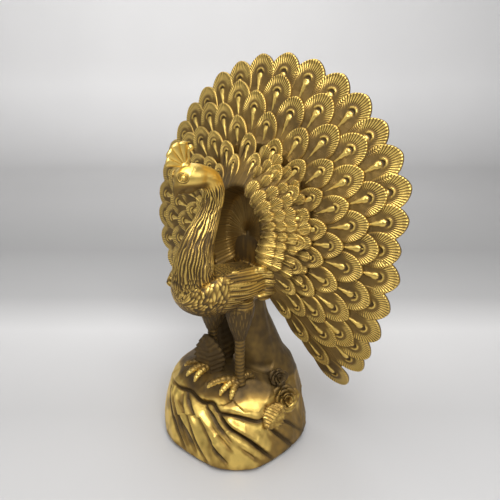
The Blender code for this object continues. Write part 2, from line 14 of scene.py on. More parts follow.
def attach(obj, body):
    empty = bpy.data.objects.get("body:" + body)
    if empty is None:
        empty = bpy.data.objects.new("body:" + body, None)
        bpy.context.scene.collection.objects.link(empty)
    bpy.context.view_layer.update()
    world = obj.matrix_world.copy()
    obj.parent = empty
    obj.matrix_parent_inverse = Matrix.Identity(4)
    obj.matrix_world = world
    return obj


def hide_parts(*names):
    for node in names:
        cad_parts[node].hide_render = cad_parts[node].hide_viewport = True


bl_info = {
    "name": "Brass peacock",
    "version": (1, 0, 0),
    "blender": (4, 5, 0),
    "location": "3D View > Sidebar > Peacock",
    "description": "Builds a cast brass peacock with its tail spread",
    "category": "Object",
}

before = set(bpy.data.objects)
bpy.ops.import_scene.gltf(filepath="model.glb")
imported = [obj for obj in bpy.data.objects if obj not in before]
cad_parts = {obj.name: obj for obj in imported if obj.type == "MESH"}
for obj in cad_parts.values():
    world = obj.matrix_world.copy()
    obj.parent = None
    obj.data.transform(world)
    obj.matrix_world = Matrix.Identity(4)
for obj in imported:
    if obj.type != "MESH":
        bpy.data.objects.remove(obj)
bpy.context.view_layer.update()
NODE = "peacock_figurine"
MM = 0.001

# The fan's rim: degrees from the top, share of its radius
RIM = (
    (-152, 1.090), (-145, 1.060), (-135, 1.010), (-115, 0.955), (-95, 0.952), (-75, 0.966), (-55, 0.972),
    (-35, 0.987), (-15, 1.013), (5, 1.036), (25, 1.028), (45, 0.998), (65, 0.980), (75, 0.942), (85, 0.910),
    (95, 0.925), (105, 0.930), (115, 0.950), (125, 0.980), (135, 1.034), (145, 1.095), (152, 1.130),
)
# Waves of the bowl round the fan: cosines of 1, 2 and 3 times the bearing
SWEEP_WAVES = (-0.070, 0.047, -0.041)
# Degrees that a feather is moved along the rim, by its bearing
SPREAD = ((0, 0), (95, 0), (105, -1.5), (115, -2.6), (125, -2.6), (135, 0.0), (145, 3.0))
# Rows of eye feathers: tip as a share of the rim, half-pitch offset, length and half width in fan radii,
# reach in degrees
ROWS = {
    "rim": ((1.000, 0, 0.240, 0.098, 146.0), (1.003, 1, 0.240, 0.098, 146.0)),
    "middle": ((0.887, 0, 0.240, 0.094, 136.0), (0.806, 1, 0.250, 0.088, 136.0)),
    "inner": (
        (0.691, 0, 0.240, 0.076, 136.0), (0.575, 1, 0.210, 0.064, 136.0), (0.470, 0, 0.170, 0.052, 136.0),
    ),
}
# Feathers along the lower edges: place and length in fan radii, and degrees from the top
EDGE_FEATHERS = ((0.935, 0.24), (0.745, 0.21), (0.570, 0.17))
EDGE_ANGLE = 147.0
# Rows of collar plumes: distance out from the lip as a share of the slope, and count; half width and length
# in metres
PLUME_ROWS = ((1.02, 27), (0.78, 26), (0.54, 25), (0.31, 24))
PLUME_HALF_WIDTH = 0.0042
PLUME_LENGTH = 0.0108
FEATHER_PIECES = {
    "rim": "rim_feathers", "middle": "middle_feathers", "inner": "inner_feathers", "plume": "collar_plumes",
}
# A feather's relief is drawn in mm: length, half width, tip to eye, and radius of the drop's head
FEATHER_SIZES = {
    "rim": (29.4, 12.0, 13.2, 2.25), "middle": (29.8, 11.1, 12.0, 2.15), "inner": (24.5, 8.0, 8.2, 1.6),
    "plume": (16.0, 4.6, 8.0, 0.0),
}
FEATHER_CELLS = {"rim": (26, 44), "middle": (26, 44), "inner": (20, 34), "plume": (12, 22)}
# How deep a feather's floor lies, and how thick its tip is, in mm
FEATHER_FLOOR = -1.6
FEATHER_EDGE = 2.2
# The hollow's lip, wall and floor: share of the lip's outline, height as a share of the lip's
LIP_RINGS = (
    (0.97, 0.70), (0.93, 0.45), (0.89, 0.15), (0.85, -0.20), (0.78, -0.42), (0.66, -0.48), (0.40, -0.50),
    (0.06, -0.50),
)
# The back of the hollow: share of the rim, depth behind the plate as a share of the hollow floor's
BACK_RINGS = ((0.03, 7 / 6), (0.10, 7 / 6), (0.20, 1.10), (0.32, 1.00), (0.42, 2 / 3), (0.52, 0.30))
# The plate lies this far under the feathers; depth of the streaks in the hollow; height of the ribs behind
PLATE_SINK = 0.0006
LINE_DEPTH = 0.0003
RIB_HEIGHT = 0.00035


# Settings


class PeacockFan(bpy.types.PropertyGroup):
    radius: bpy.props.FloatProperty(
        name="Fan radius", description="Fan centre to the tips of the outer feathers", default=0.1225,
        min=0.05, unit="LENGTH",
    )
    height: bpy.props.FloatProperty(
        name="Fan height", description="Fan centre above the underside", default=0.1715, unit="LENGTH",
    )
    back: bpy.props.FloatProperty(
        name="Fan set-back", description="Fan centre behind the middle of the figure", default=0.0060,
        unit="LENGTH",
    )
    lean: bpy.props.FloatProperty(
        name="Lean", description="Angle the fan leans back", default=math.radians(5.5), subtype="ANGLE",
    )
    half_angle: bpy.props.FloatProperty(
        name="Half angle", description="From the top to the lower edge on each side",
        default=math.radians(150.0), subtype="ANGLE",
    )
    pitch: bpy.props.FloatProperty(
        name="Feather pitch", description="Angle between neighbouring feathers", default=math.radians(10.0),
        subtype="ANGLE",
    )
    slope: bpy.props.FloatProperty(
        name="Sweep slope", description="How fast the fan runs back from its centre", default=0.058,
    )
    bowl: bpy.props.FloatProperty(
        name="Sweep bowl", description="How much the fan bows back towards its rim", default=0.211,
    )
    plate: bpy.props.FloatProperty(
        name="Plate", description="Thickness of the plate that carries the feathers", default=0.0036,
        unit="LENGTH",
    )
    step: bpy.props.FloatProperty(
        name="Feather step", description="How far a feather tip stands above the plate", default=0.0024,
        unit="LENGTH",
    )
    eye_rise: bpy.props.FloatProperty(
        name="Eye rise", description="How far the drop on a feather stands up", default=0.0016, unit="LENGTH",
    )
    barbs: bpy.props.FloatProperty(
        name="Barbs", description="Depth of the fine lines at the feather tips", default=0.00045,
        unit="LENGTH",
    )
    niche_width: bpy.props.FloatProperty(
        name="Hollow half width", description="Half width of the hollow behind the neck", default=0.0245,
        unit="LENGTH",
    )
    niche_height: bpy.props.FloatProperty(
        name="Hollow half height", description="Half height of the hollow behind the neck", default=0.0370,
        unit="LENGTH",
    )
    niche_depth: bpy.props.FloatProperty(
        name="Hollow lip", description="How far the lip of the hollow stands forward", default=0.0125,
        unit="LENGTH",
    )
    niche_floor: bpy.props.FloatProperty(
        name="Hollow floor", description="How far the floor of the hollow lies back", default=0.0060,
        unit="LENGTH",
    )
    niche_flare: bpy.props.FloatProperty(
        name="Hollow slope", description="Width of the slope round the hollow", default=0.0300, unit="LENGTH",
    )


class PeacockBird(bpy.types.PropertyGroup):
    skin: bpy.props.FloatProperty(
        name="Skin grain", description="Cell size of the bird's skin mesh", default=0.00055, unit="LENGTH",
    )
    strands: bpy.props.IntProperty(
        name="Strands", description="Hair-like feathers counted round the neck", default=26,
    )
    strand_length: bpy.props.FloatProperty(
        name="Strand length", description="Length of the hair-like feathers on the neck", default=0.0120,
        unit="LENGTH",
    )
    strand_depth: bpy.props.FloatProperty(
        name="Strand depth", description="Depth of the lines between them", default=0.0013, unit="LENGTH",
    )
    scale: bpy.props.FloatProperty(
        name="Breast scale", description="Width of a small scale on the breast", default=0.00132,
        unit="LENGTH",
    )
    rib: bpy.props.FloatProperty(
        name="Wing rib", description="Width of a long feather on the wing", default=0.0021, unit="LENGTH",
    )
    wing: bpy.props.FloatProperty(
        name="Wing thickness", description="Half thickness of a folded wing", default=0.0048, unit="LENGTH",
    )
    shank: bpy.props.FloatProperty(
        name="Shank radius", description="Radius of the lower leg", default=0.0038, unit="LENGTH",
    )
    toe: bpy.props.FloatProperty(
        name="Toe radius", description="Radius of a toe at its root", default=0.0024, unit="LENGTH",
    )


class PeacockRock(bpy.types.PropertyGroup):
    height: bpy.props.FloatProperty(
        name="Rock height", description="Top of the rock, under the feet", default=0.0605, unit="LENGTH",
    )
    half_width: bpy.props.FloatProperty(
        name="Rock half width", description="Half width across the figure", default=0.0545, unit="LENGTH",
    )
    front: bpy.props.FloatProperty(
        name="Rock front", description="From the fan centre forward to the foot", default=0.0550,
        unit="LENGTH",
    )
    rear: bpy.props.FloatProperty(
        name="Rock rear", description="From the fan centre back to the foot", default=0.0540, unit="LENGTH",
    )
    aside: bpy.props.FloatProperty(
        name="Rock aside", description="Middle of the rock to the side of the fan centre", default=-0.0070,
        unit="LENGTH",
    )
    squareness: bpy.props.FloatProperty(
        name="Squareness", description="2 is an oval foot, more is squarer", default=2.5,
    )
    grain: bpy.props.FloatProperty(
        name="Rock grain", description="Cell size of the rock's skin mesh", default=0.00085, unit="LENGTH",
    )
    groove: bpy.props.FloatProperty(
        name="Groove depth", description="Depth of the grooves between the layers", default=0.0034,
        unit="LENGTH",
    )
    groove_width: bpy.props.FloatProperty(
        name="Groove width", description="Half width of a groove", default=0.0018, unit="LENGTH",
    )
    rose: bpy.props.FloatProperty(
        name="Rose radius", description="Radius of the larger rose", default=0.0112, unit="LENGTH",
    )


class PeacockBrass(bpy.types.PropertyGroup):
    bright: bpy.props.FloatVectorProperty(
        name="Polished", description="Rubbed high spots", default=(0.88, 0.62, 0.165), subtype="COLOR",
        size=3,
    )
    worn: bpy.props.FloatVectorProperty(
        name="Worn", description="Between high spots and hollows", default=(0.33, 0.200, 0.048),
        subtype="COLOR", size=3,
    )
    patina: bpy.props.FloatVectorProperty(
        name="Patina", description="Dark brown in the hollows", default=(0.088, 0.054, 0.018),
        subtype="COLOR", size=3,
    )
    floor: bpy.props.FloatVectorProperty(
        name="Floor", description="Pale floor and backdrop", default=(0.665, 0.655, 0.65), subtype="COLOR",
        size=3,
    )


GROUPS = (
    ("peacock_fan", PeacockFan), ("peacock_bird", PeacockBird), ("peacock_rock", PeacockRock),
    ("peacock_brass", PeacockBrass),
)


# Shapes


def smooth(edge0, edge1, x):
    t = np.clip((np.asarray(x, float) - edge0) / (edge1 - edge0), 0, 1)
    return t * t * (3 - 2 * t)


def table_at(table, x):
    a = np.array(table, float)
    return np.interp(x, a[:, 0], a[:, 1])


def spline(rows, count):
    """Rows of numbers resampled to count rows along a smooth curve through them."""
    a = np.array(rows, float)
    a = np.vstack([2 * a[0] - a[1], a, 2 * a[-1] - a[-2]])
    found = []
    last = len(rows) - 1
    for k in range(count):
        f = last * k / (count - 1)
        i = min(int(f), last - 1)
        t = f - i
        p0, p1, p2, p3 = a[i], a[i + 1], a[i + 2], a[i + 3]
        square = 2 * p0 - 5 * p1 + 4 * p2 - p3
        cube = 3 * p1 - p0 - 3 * p2 + p3
        found.append(0.5 * (2 * p1 + (p2 - p0) * t + square * t * t + cube * t ** 3))
    return np.array(found)


def place(x, y, z):
    """A point given in fan radii from the fan centre."""
    f = bpy.context.scene.peacock_fan
    return Vector((x * f.radius, y * f.radius + f.back, z * f.radius + f.height))


def rim(degrees, f):
    return f.radius * table_at(RIM, degrees)


def lip(theta, f):
    return 1 / np.hypot(np.cos(theta) / f.niche_height, np.sin(theta) / f.niche_width)


def fan_point(r, theta, height, f, raised=True):
    """Points on the fan's front, moved along its forward direction, as an array."""
    r, theta, height = np.broadcast_arrays(
        np.asarray(r, float), np.asarray(theta, float), np.asarray(height, float),
    )
    bowl = f.bowl + sum(w * np.cos((n + 1) * theta) for n, w in enumerate(SWEEP_WAVES))
    back = f.slope * r + bowl * r * r / f.radius - height
    if raised:
        back = back - f.niche_depth * np.clip(1 - (r - lip(theta, f)) / f.niche_flare, 0, 1) ** 1.5
    c, s = math.cos(f.lean), math.sin(f.lean)
    up = r * np.cos(theta)
    return np.stack([r * np.sin(theta), f.back + up * s + back * c, f.height + up * c - back * s], -1)


def mesh_of(name, verts, faces, attributes=None):
    mesh = bpy.data.meshes.new(name)
    mesh.from_pydata([tuple(map(float, v)) for v in verts], [], [tuple(map(int, f)) for f in faces])
    for key, values in (attributes or {}).items():
        set_attribute(mesh, key, values)
    return mesh


def set_attribute(mesh, key, values):
    values = np.asarray(values, np.float32)
    kind = "FLOAT" if values.ndim == 1 else "FLOAT_VECTOR"
    attribute = mesh.attributes.get(key) or mesh.attributes.new(key, kind, "POINT")
    attribute.data.foreach_set("value" if values.ndim == 1 else "vector", values.ravel())


def coordinates(mesh):
    co = np.empty(len(mesh.vertices) * 3, np.float32)
    mesh.vertices.foreach_get("co", co)
    return co.reshape(-1, 3).astype(float)


def normals(mesh):
    n = np.empty(len(mesh.vertices) * 3, np.float32)
    mesh.vertices.foreach_get("normal", n)
    return n.reshape(-1, 3).astype(float)


def set_coordinates(mesh, co):
    mesh.vertices.foreach_set("co", np.asarray(co, np.float32).ravel())
    mesh.update()


def face_out(mesh, merge=True):
    """Turns the faces of a closed mesh outwards, after its doubles are merged where merge is set."""
    bm = bmesh.new()
    bm.from_mesh(mesh)
    if merge:
        bmesh.ops.remove_doubles(bm, verts=bm.verts, dist=1e-7)
    bmesh.ops.recalc_face_normals(bm, faces=bm.faces)
    bm.to_mesh(mesh)
    bm.free()
    return mesh


def loft(rings, closed_ends=True):
    """Verts and faces of a closed shape through rings of equal count."""
    count = len(rings[0])
    verts = [p for ring in rings for p in ring]
    faces = []
    for i in range(len(rings) - 1):
        for j in range(count):
            k = (j + 1) % count
            a = i * count
            faces.append((a + j, a + k, a + count + k, a + count + j))
    if closed_ends:
        last = (len(rings) - 1) * count
        faces.append(tuple(reversed(range(count))))
        faces.append(tuple(range(last, last + count)))
    return verts, faces


def oval(centre, side, front, wide, deep, count):
    """Points round an oval that is wide along side and deep along front."""
    turns = [2 * math.pi * j / count for j in range(count)]
    return [centre + side * (wide * math.cos(t)) + front * (deep * math.sin(t)) for t in turns]


def tube(points, sizes, count, side=(1, 0, 0)):
    """A closed tube along a path with a round or oval section at each point."""
    points = [Vector(p) for p in points]
    rings = []
    for i, point in enumerate(points):
        ahead = (points[min(i + 1, len(points) - 1)] - points[max(i - 1, 0)]).normalized()
        across = Vector(side)
        if abs(ahead.dot(across)) > 0.9:
            across = Vector((0, 1, 0))
        across = (across - ahead * across.dot(ahead)).normalized()
        wide, deep = np.broadcast_to(sizes[i], 2)
        rings.append(oval(point, across, ahead.cross(across), float(wide), float(deep), count))
    return loft(rings)


def ball(centre, axes, rings=20, count=36):
    """A closed oval ball; axes are three vectors that hold its half sizes."""
    along, side, up = (Vector(a) for a in axes)
    centre = Vector(centre)
    turns = [2 * math.pi * j / count for j in range(count)]
    found = []
    for i in range(rings + 1):
        # The first and last rings keep a hair's width, so that no face shrinks to nothing
        a = math.pi * min(max(i, 0.02), rings - 0.02) / rings
        mid = centre - along * math.cos(a)
        found.append([mid + (side * math.cos(t) + up * math.sin(t)) * math.sin(a) for t in turns])
    return loft(found)


def gathered(shapes):
    """One list of verts and faces from several."""
    verts, faces = [], []
    for v, f in shapes:
        start = len(verts)
        verts += list(v)
        faces += [tuple(i + start for i in face) for face in f]
    return verts, faces


def new_object(name, mesh):
    thing = bpy.data.objects.new(name, mesh)
    bpy.context.scene.collection.objects.link(thing)
    return thing


def plain_mesh(thing):
    """The object's evaluated mesh in place of its modifiers."""
    graph = bpy.context.evaluated_depsgraph_get()
    mesh = bpy.data.meshes.new_from_object(thing.evaluated_get(graph))
    thing.modifiers.clear()
    old = thing.data
    thing.data = mesh
    if old.users == 0:
        bpy.data.meshes.remove(old)
    return thing


def skinned(name, shapes, grain, rounds):
    """Closed shapes melted into one skin of small cells, then smoothed."""
    verts, faces = gathered(shapes)
    thing = new_object(name, face_out(mesh_of(name, verts, faces)))
    melt = thing.modifiers.new("melt", "REMESH")
    melt.mode = "VOXEL"
    melt.voxel_size = grain
    soften = thing.modifiers.new("soften", "SMOOTH")
    soften.factor = 0.5
    soften.iterations = rounds
    return plain_mesh(thing)


def finish_piece(thing, material):
    """Smooth shading, one material, and its place in the figure."""
    thing.data.materials.clear()
    thing.data.materials.append(material)
    thing.data.polygons.foreach_set("use_smooth", [True] * len(thing.data.polygons))
    thing.data.update()
    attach(thing, "root")
    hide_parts(NODE)
    return thing


def noises(points, scale=(1, 1, 1), seed=0.0):
    """Smooth noise from -1 to 1 at each point."""
    scaled = np.asarray(points, float) * np.asarray(scale, float) + seed
    return np.array([noise.noise(Vector(p)) for p in scaled])


# Materials

# Noise scales of the broad stains and the fine specks, and how strong each is
BROAD_STAINS = 55.0
STAIN_STRENGTH = 0.5
FINE_SPECKS = 900.0
SPECK_HEIGHT = 0.00012
# Barbs on a feather: how far behind its eye they meet in mm, and how close they lie
BARB_ROOT = 6.0
BARB_COUNT = 29.0


def shader_node(tree, kind, **values):
    node = tree.nodes.new(kind)
    for key, value in values.items():
        setattr(node, key, value)
    return node


def wired(tree, node, inputs):
    """Sets or links a node's inputs, named or numbered."""
    for key, value in inputs.items():
        socket = node.inputs[key]
        if isinstance(value, bpy.types.NodeSocket):
            tree.links.new(value, socket)
        else:
            socket.default_value = value
    return node


def maths(tree, operation, a, b=0.0, c=0.0, clamp=False):
    node = shader_node(tree, "ShaderNodeMath", operation=operation, use_clamp=clamp)
    wired(tree, node, {0: a, 1: b, 2: c})
    return node.outputs[0]


def attribute(tree, name, vector=False):
    node = shader_node(tree, "ShaderNodeAttribute", attribute_name=name)
    return node.outputs["Vector" if vector else "Fac"]


def noise_texture(tree, spot, scale, detail):
    node = shader_node(tree, "ShaderNodeTexNoise")
    return wired(tree, node, {"Vector": spot, "Scale": scale, "Detail": detail}).outputs[0]


def colour_ramp(tree, value, stops):
    node = shader_node(tree, "ShaderNodeValToRGB")
    elements = node.color_ramp.elements
    while len(elements) < len(stops):
        elements.new(0.5)
    for element, (place_at, colour) in zip(elements, stops):
        element.position = place_at
        element.color = (*colour, 1)
    tree.links.new(value, node.inputs[0])
    return node.outputs[0]


def barb_lines(tree):
    """Fine lines that fan out from a feather's root, strong where the barb attribute is."""
    quill = shader_node(tree, "ShaderNodeSeparateXYZ")
    tree.links.new(attribute(tree, "quill", True), quill.inputs[0])
    bearing = maths(tree, "ARCTAN2", quill.outputs[0], maths(tree, "ADD", quill.outputs[1], BARB_ROOT))
    lines = maths(tree, "ABSOLUTE", maths(tree, "SINE", maths(tree, "MULTIPLY", bearing, BARB_COUNT)))
    return maths(tree, "MULTIPLY", maths(tree, "MULTIPLY_ADD", lines, 2.0, -1.2), attribute(tree, "barb"))


def brass(name, barbed=False, dull=0.0):
    """Antique brass, bright where rubbed and brown in the hollows, as the mesh's hollow attribute says; in
    places that attribute also holds painted shade.
    """
    material = bpy.data.materials.new(name)
    material.use_nodes = True
    tree = material.node_tree
    shader = tree.nodes["Principled BSDF"]
    b = bpy.context.scene.peacock_brass
    spot = shader_node(tree, "ShaderNodeTexCoord").outputs["Object"]
    broad = noise_texture(tree, spot, BROAD_STAINS, 4.0)
    speck = noise_texture(tree, spot, FINE_SPECKS, 3.0)
    hollow = attribute(tree, "hollow")
    height = maths(tree, "MULTIPLY", speck, SPECK_HEIGHT)
    if barbed:
        lines = barb_lines(tree)
        depth = 0.5 * bpy.context.scene.peacock_fan.barbs
        height = maths(tree, "ADD", height, maths(tree, "MULTIPLY", lines, depth))
        hollow = maths(tree, "SUBTRACT", hollow, maths(tree, "MULTIPLY", lines, 0.42))
    rough = maths(tree, "MULTIPLY", maths(tree, "SUBTRACT", broad, 0.5), STAIN_STRENGTH)
    hollow = maths(tree, "ADD", hollow, rough)
    hollow = maths(tree, "ADD", hollow, dull, clamp=True)
    # Colour from the hollow attribute: patina and wear, and painted shade where a piece sets it
    stops = ((0.0, b.bright), (0.22, b.bright), (0.50, b.worn), (0.92, b.patina))
    tree.links.new(colour_ramp(tree, hollow, stops), shader.inputs["Base Color"])
    metal = maths(tree, "MULTIPLY_ADD", hollow, -0.50, 1.05, True)
    tree.links.new(metal, shader.inputs["Metallic"])
    gloss = maths(tree, "MULTIPLY_ADD", hollow, 0.24, 0.34)
    tree.links.new(gloss, shader.inputs["Roughness"])
    bump = shader_node(tree, "ShaderNodeBump")
    wired(tree, bump, {"Height": height, "Strength": 1.0, "Distance": 1.0})
    tree.links.new(bump.outputs[0], shader.inputs["Normal"])
    return material


def material_named(name, **options):
    return bpy.data.materials.get(name) or brass(name, **options)


# The fan


def plume_relief(X, S, T, Z, edge):
    """Relief in mm, hollow and barb of a collar plume: rounded across, with a raised quill."""
    Z = Z * 0.8 + 0.7 * (1 - S * S) + np.exp(-(X / 0.55) ** 2) * 0.55
    hollow = 0.50 + 0.30 * smooth(0.2, 0.9, T) - 0.35 * np.exp(-(X / 0.5) ** 2)
    return Z, hollow, smooth(0.2, 0.9, edge)


def eye_relief(X, Y, Z, edge, eye, head, rise):
    """Relief in mm, hollow and barb of an eye feather: drop, dimple, crescent, and barbs at the rim."""
    rho = np.hypot(X, Y - eye)
    alpha = np.abs(np.arctan2(X, eye - Y))
    Z = Z - 0.55 * smooth(0.8, 3.2, edge)
    ring = 1.42 * head
    outer = smooth(0.38 * eye, 0.62 * eye, rho) * smooth(2.1, 1.3, alpha)
    hollow = 0.76 - 0.36 * outer - 0.42 * smooth(1.3, 0.4, edge) * (1 - outer)
    # The drop: a round head near the eye and a long thin tail to the root
    middle = eye + 0.85 * head
    tail = 6.2 * head
    fall = np.clip((Y - middle) / tail, 0, 1)
    slim = head * ((1 - fall) ** 2.0 * 0.80 + 0.20 * (1 - fall ** 4))
    b = np.where(Y < middle, np.sqrt(np.clip(head ** 2 - (Y - middle) ** 2, 0, None)), slim)
    inside = np.clip(1 - (X / np.maximum(b, 1e-3)) ** 2, 0, 1) * (b > 0.05)
    # The eye: a dark dimple with a crescent round its outer half
    dimple = smooth(ring - 0.2, ring - 0.9, rho)
    Z = Z - 0.55 * dimple
    hollow = np.maximum(hollow, dimple)
    Z = Z + rise * np.sqrt(inside) * (1 - 0.55 * smooth(0, tail, Y - middle))
    breadth = 0.55 - 0.16 * np.clip(alpha / 1.4, 0, 1)
    crescent = np.exp(-((rho - ring) / breadth) ** 2) * smooth(1.75, 1.1, alpha)
    Z = Z + 1.05 * crescent
    rubbed = np.clip(1.5 * crescent, 0, 1)
    hollow = hollow * (1 - rubbed) + 0.02 * rubbed
    hollow = np.where(inside > 0, 0.04 + 0.5 * (1 - inside) ** 3, hollow)
    barb = smooth(0.34 * eye, 0.52 * eye, rho) * smooth(0.10, 0.75, edge)
    barb = barb * (1 - 0.80 * smooth(1.3, 2.1, alpha)) * (1 - np.clip(3 * inside, 0, 1))
    return Z, hollow, barb


def feather_shell(top, floors, across, along):
    """Verts and faces of a feather closed by a floor; top holds the tip, then each row from side to side."""
    columns = across + 1
    verts = [tuple(v) for v in top]
    faces = [(0, 1 + j, 2 + j) for j in range(across)]
    for i in range(along - 1):
        a = 1 + i * columns
        faces += [(a + j, a + columns + j, a + columns + j + 1, a + j + 1) for j in range(across)]
    left = [1 + i * columns for i in range(along)]
    right = [v + across for v in left]
    root = [left[-1] + j for j in range(1, across)]
    loop = [0] + left + root + right[::-1]
    start, n = len(verts), len(loop)
    for v in loop:
        x, y, z = verts[v]
        verts.append((x * 0.97, y, min(z, floors[v])))
    for k in range(n):
        m = (k + 1) % n
        faces.append((loop[k], loop[m], start + m, start + k))
    faces.append(tuple(reversed(range(start, start + n))))
    return verts, faces


def feather_mesh(name, kind, f):
    """A feather 1 wide on each side and 1 long from its tip, its relief in metres; the tip is at 0."""
    length, half, eye, head = FEATHER_SIZES[kind]
    across, along = FEATHER_CELLS[kind]
    q = np.linspace(-1, 1, across + 1)
    S, T = np.meshgrid(np.sign(q) * np.abs(q) ** 1.3, (np.arange(1, along + 1) / along) ** 1.2)
    broad = 0.36 if kind == "plume" else 0.46
    near = np.sin(math.pi / 2 * np.clip(T / broad, 0, 1) ** 0.62)
    far = 1 - 0.30 * (np.clip(T - broad, 0, 1) / (1 - broad)) ** 1.5
    width = np.where(T < broad, near, far)
    X, Y = S * width * half, T * length
    edge = np.minimum((1 - np.abs(S)) * width * half, Y * 0.85)
    step = 1000 * f.step
    Z = step * (1 - 1.35 * T) - 0.75 * np.clip(1 - edge / 1.1, 0, 1) ** 2
    if kind == "plume":
        Z, hollow, barb = plume_relief(X, S, T, Z, edge)
    else:
        Z, hollow, barb = eye_relief(X, Y, Z, edge, eye, head, 1000 * f.eye_rise * head / 2.4)
    floor = np.full(X.shape, FEATHER_FLOOR)
    if kind == "rim":
        floor = np.maximum(floor, step * (1 - 1.35 * T) - FEATHER_EDGE - 0.9 * T * 1000 * f.plate)
    top = np.stack([X / half, Y / length, Z * MM], -1).reshape(-1, 3)
    top = np.vstack([[0.0, 0.0, (step - 0.75) * MM], top])
    floors = np.concatenate([[step - FEATHER_EDGE], floor.ravel()]) * MM
    verts, faces = feather_shell(top, floors, across, along)
    pad = len(verts) - len(top)
    quill = np.stack([X, eye - Y, 0 * X], -1).reshape(-1, 3)
    values = {
        "hollow": np.concatenate([[0.2], hollow.ravel(), np.full(pad, 0.95)]),
        "barb": np.concatenate([[0.0], barb.ravel(), np.zeros(pad)]),
        "quill": np.vstack([[[0, eye, 0]], quill, np.zeros((pad, 3))]),
    }
    return face_out(mesh_of(name, verts, faces, values), merge=False)


def plume_places(f):
    """Bearing in radians, tip radius, half width and length of each collar plume, in metres."""
    found = []
    for n, (share, count) in enumerate(PLUME_ROWS):
        for i in range(count):
            wobble = 0.25 * math.sin(12.9 * i + 4.7 * n)
            theta = math.radians(-142 + 284 * (i + 0.5 + 0.3 * wobble) / count)
            behind_neck = -math.radians(50) < theta < math.radians(6 + 2 * n)
            if behind_neck or abs(theta) > math.radians(119):
                continue
            size = 1 + 0.18 * math.sin(7.3 * i + 2.1 * n)
            tip = float(lip(theta, f)) + (share + 0.10 * wobble) * f.niche_flare
            found.append((theta, tip, PLUME_HALF_WIDTH * size, PLUME_LENGTH * size))
    return found


def feather_places(kind, f):
    """Bearing in radians, tip radius, half width and length of each feather of a group, in metres."""
    if kind == "plume":
        return plume_places(f)
    found = []
    pitch = math.degrees(f.pitch)
    for share, offset, length, half, reach in ROWS[kind]:
        for k in range(-30, 31):
            angle = pitch * (k + 0.5)
            if k % 2 == offset and abs(angle) <= reach:
                angle += math.copysign(float(table_at(SPREAD, abs(angle))), angle)
                tip = share * float(rim(angle, f))
                found.append((math.radians(angle), tip, half * f.radius, length * f.radius))
    if kind == "inner":
        for share, length in EDGE_FEATHERS:
            for side in (-1, 1):
                theta = side * math.radians(EDGE_ANGLE)
                found.append((theta, share * f.radius, 0.29 * length * f.radius, length * f.radius))
    return found


def fan_inputs(f):
    """The fan's sizes under the names of the tree's inputs."""
    return {
        "Radius": f.radius, "Slope": f.slope, "Bowl": f.bowl, "Wave 1": SWEEP_WAVES[0],
        "Wave 2": SWEEP_WAVES[1], "Wave 3": SWEEP_WAVES[2], "Lean": f.lean, "Height": f.height,
        "Back": f.back, "Lip depth": f.niche_depth, "Lip half width": f.niche_width,
        "Lip half height": f.niche_height, "Lip slope": f.niche_flare,
    }


def named_attribute(tree, key, kind="FLOAT"):
    node = shader_node(tree, "GeometryNodeInputNamedAttribute", data_type=kind)
    node.inputs["Name"].default_value = key
    return [o for o in node.outputs if o.enabled and o.name == "Attribute"][0]


def swept_back(tree, source, r, theta, relief):
    """How far back a point lies at radius r and bearing theta, with the collar and its relief taken off."""
    sine, cosine = maths(tree, "SINE", theta), maths(tree, "COSINE", theta)
    bowl = source["Bowl"]
    for n in (1, 2, 3):
        wave = maths(tree, "COSINE", maths(tree, "MULTIPLY", theta, float(n)))
        bowl = maths(tree, "MULTIPLY_ADD", wave, source["Wave %d" % n], bowl)
    square = maths(tree, "MULTIPLY", r, r)
    back = maths(tree, "DIVIDE", maths(tree, "MULTIPLY", bowl, square), source["Radius"])
    back = maths(tree, "MULTIPLY_ADD", source["Slope"], r, back)
    upright = maths(tree, "POWER", maths(tree, "DIVIDE", cosine, source["Lip half height"]), 2.0)
    level = maths(tree, "POWER", maths(tree, "DIVIDE", sine, source["Lip half width"]), 2.0)
    edge = maths(tree, "POWER", maths(tree, "ADD", upright, level), -0.5)
    beyond = maths(tree, "DIVIDE", maths(tree, "SUBTRACT", r, edge), source["Lip slope"])
    slope = maths(tree, "SUBTRACT", 1.0, beyond, clamp=True)
    collar = maths(tree, "MULTIPLY", maths(tree, "POWER", slope, 1.5), source["Lip depth"])
    return maths(tree, "SUBTRACT", maths(tree, "SUBTRACT", back, collar), relief)


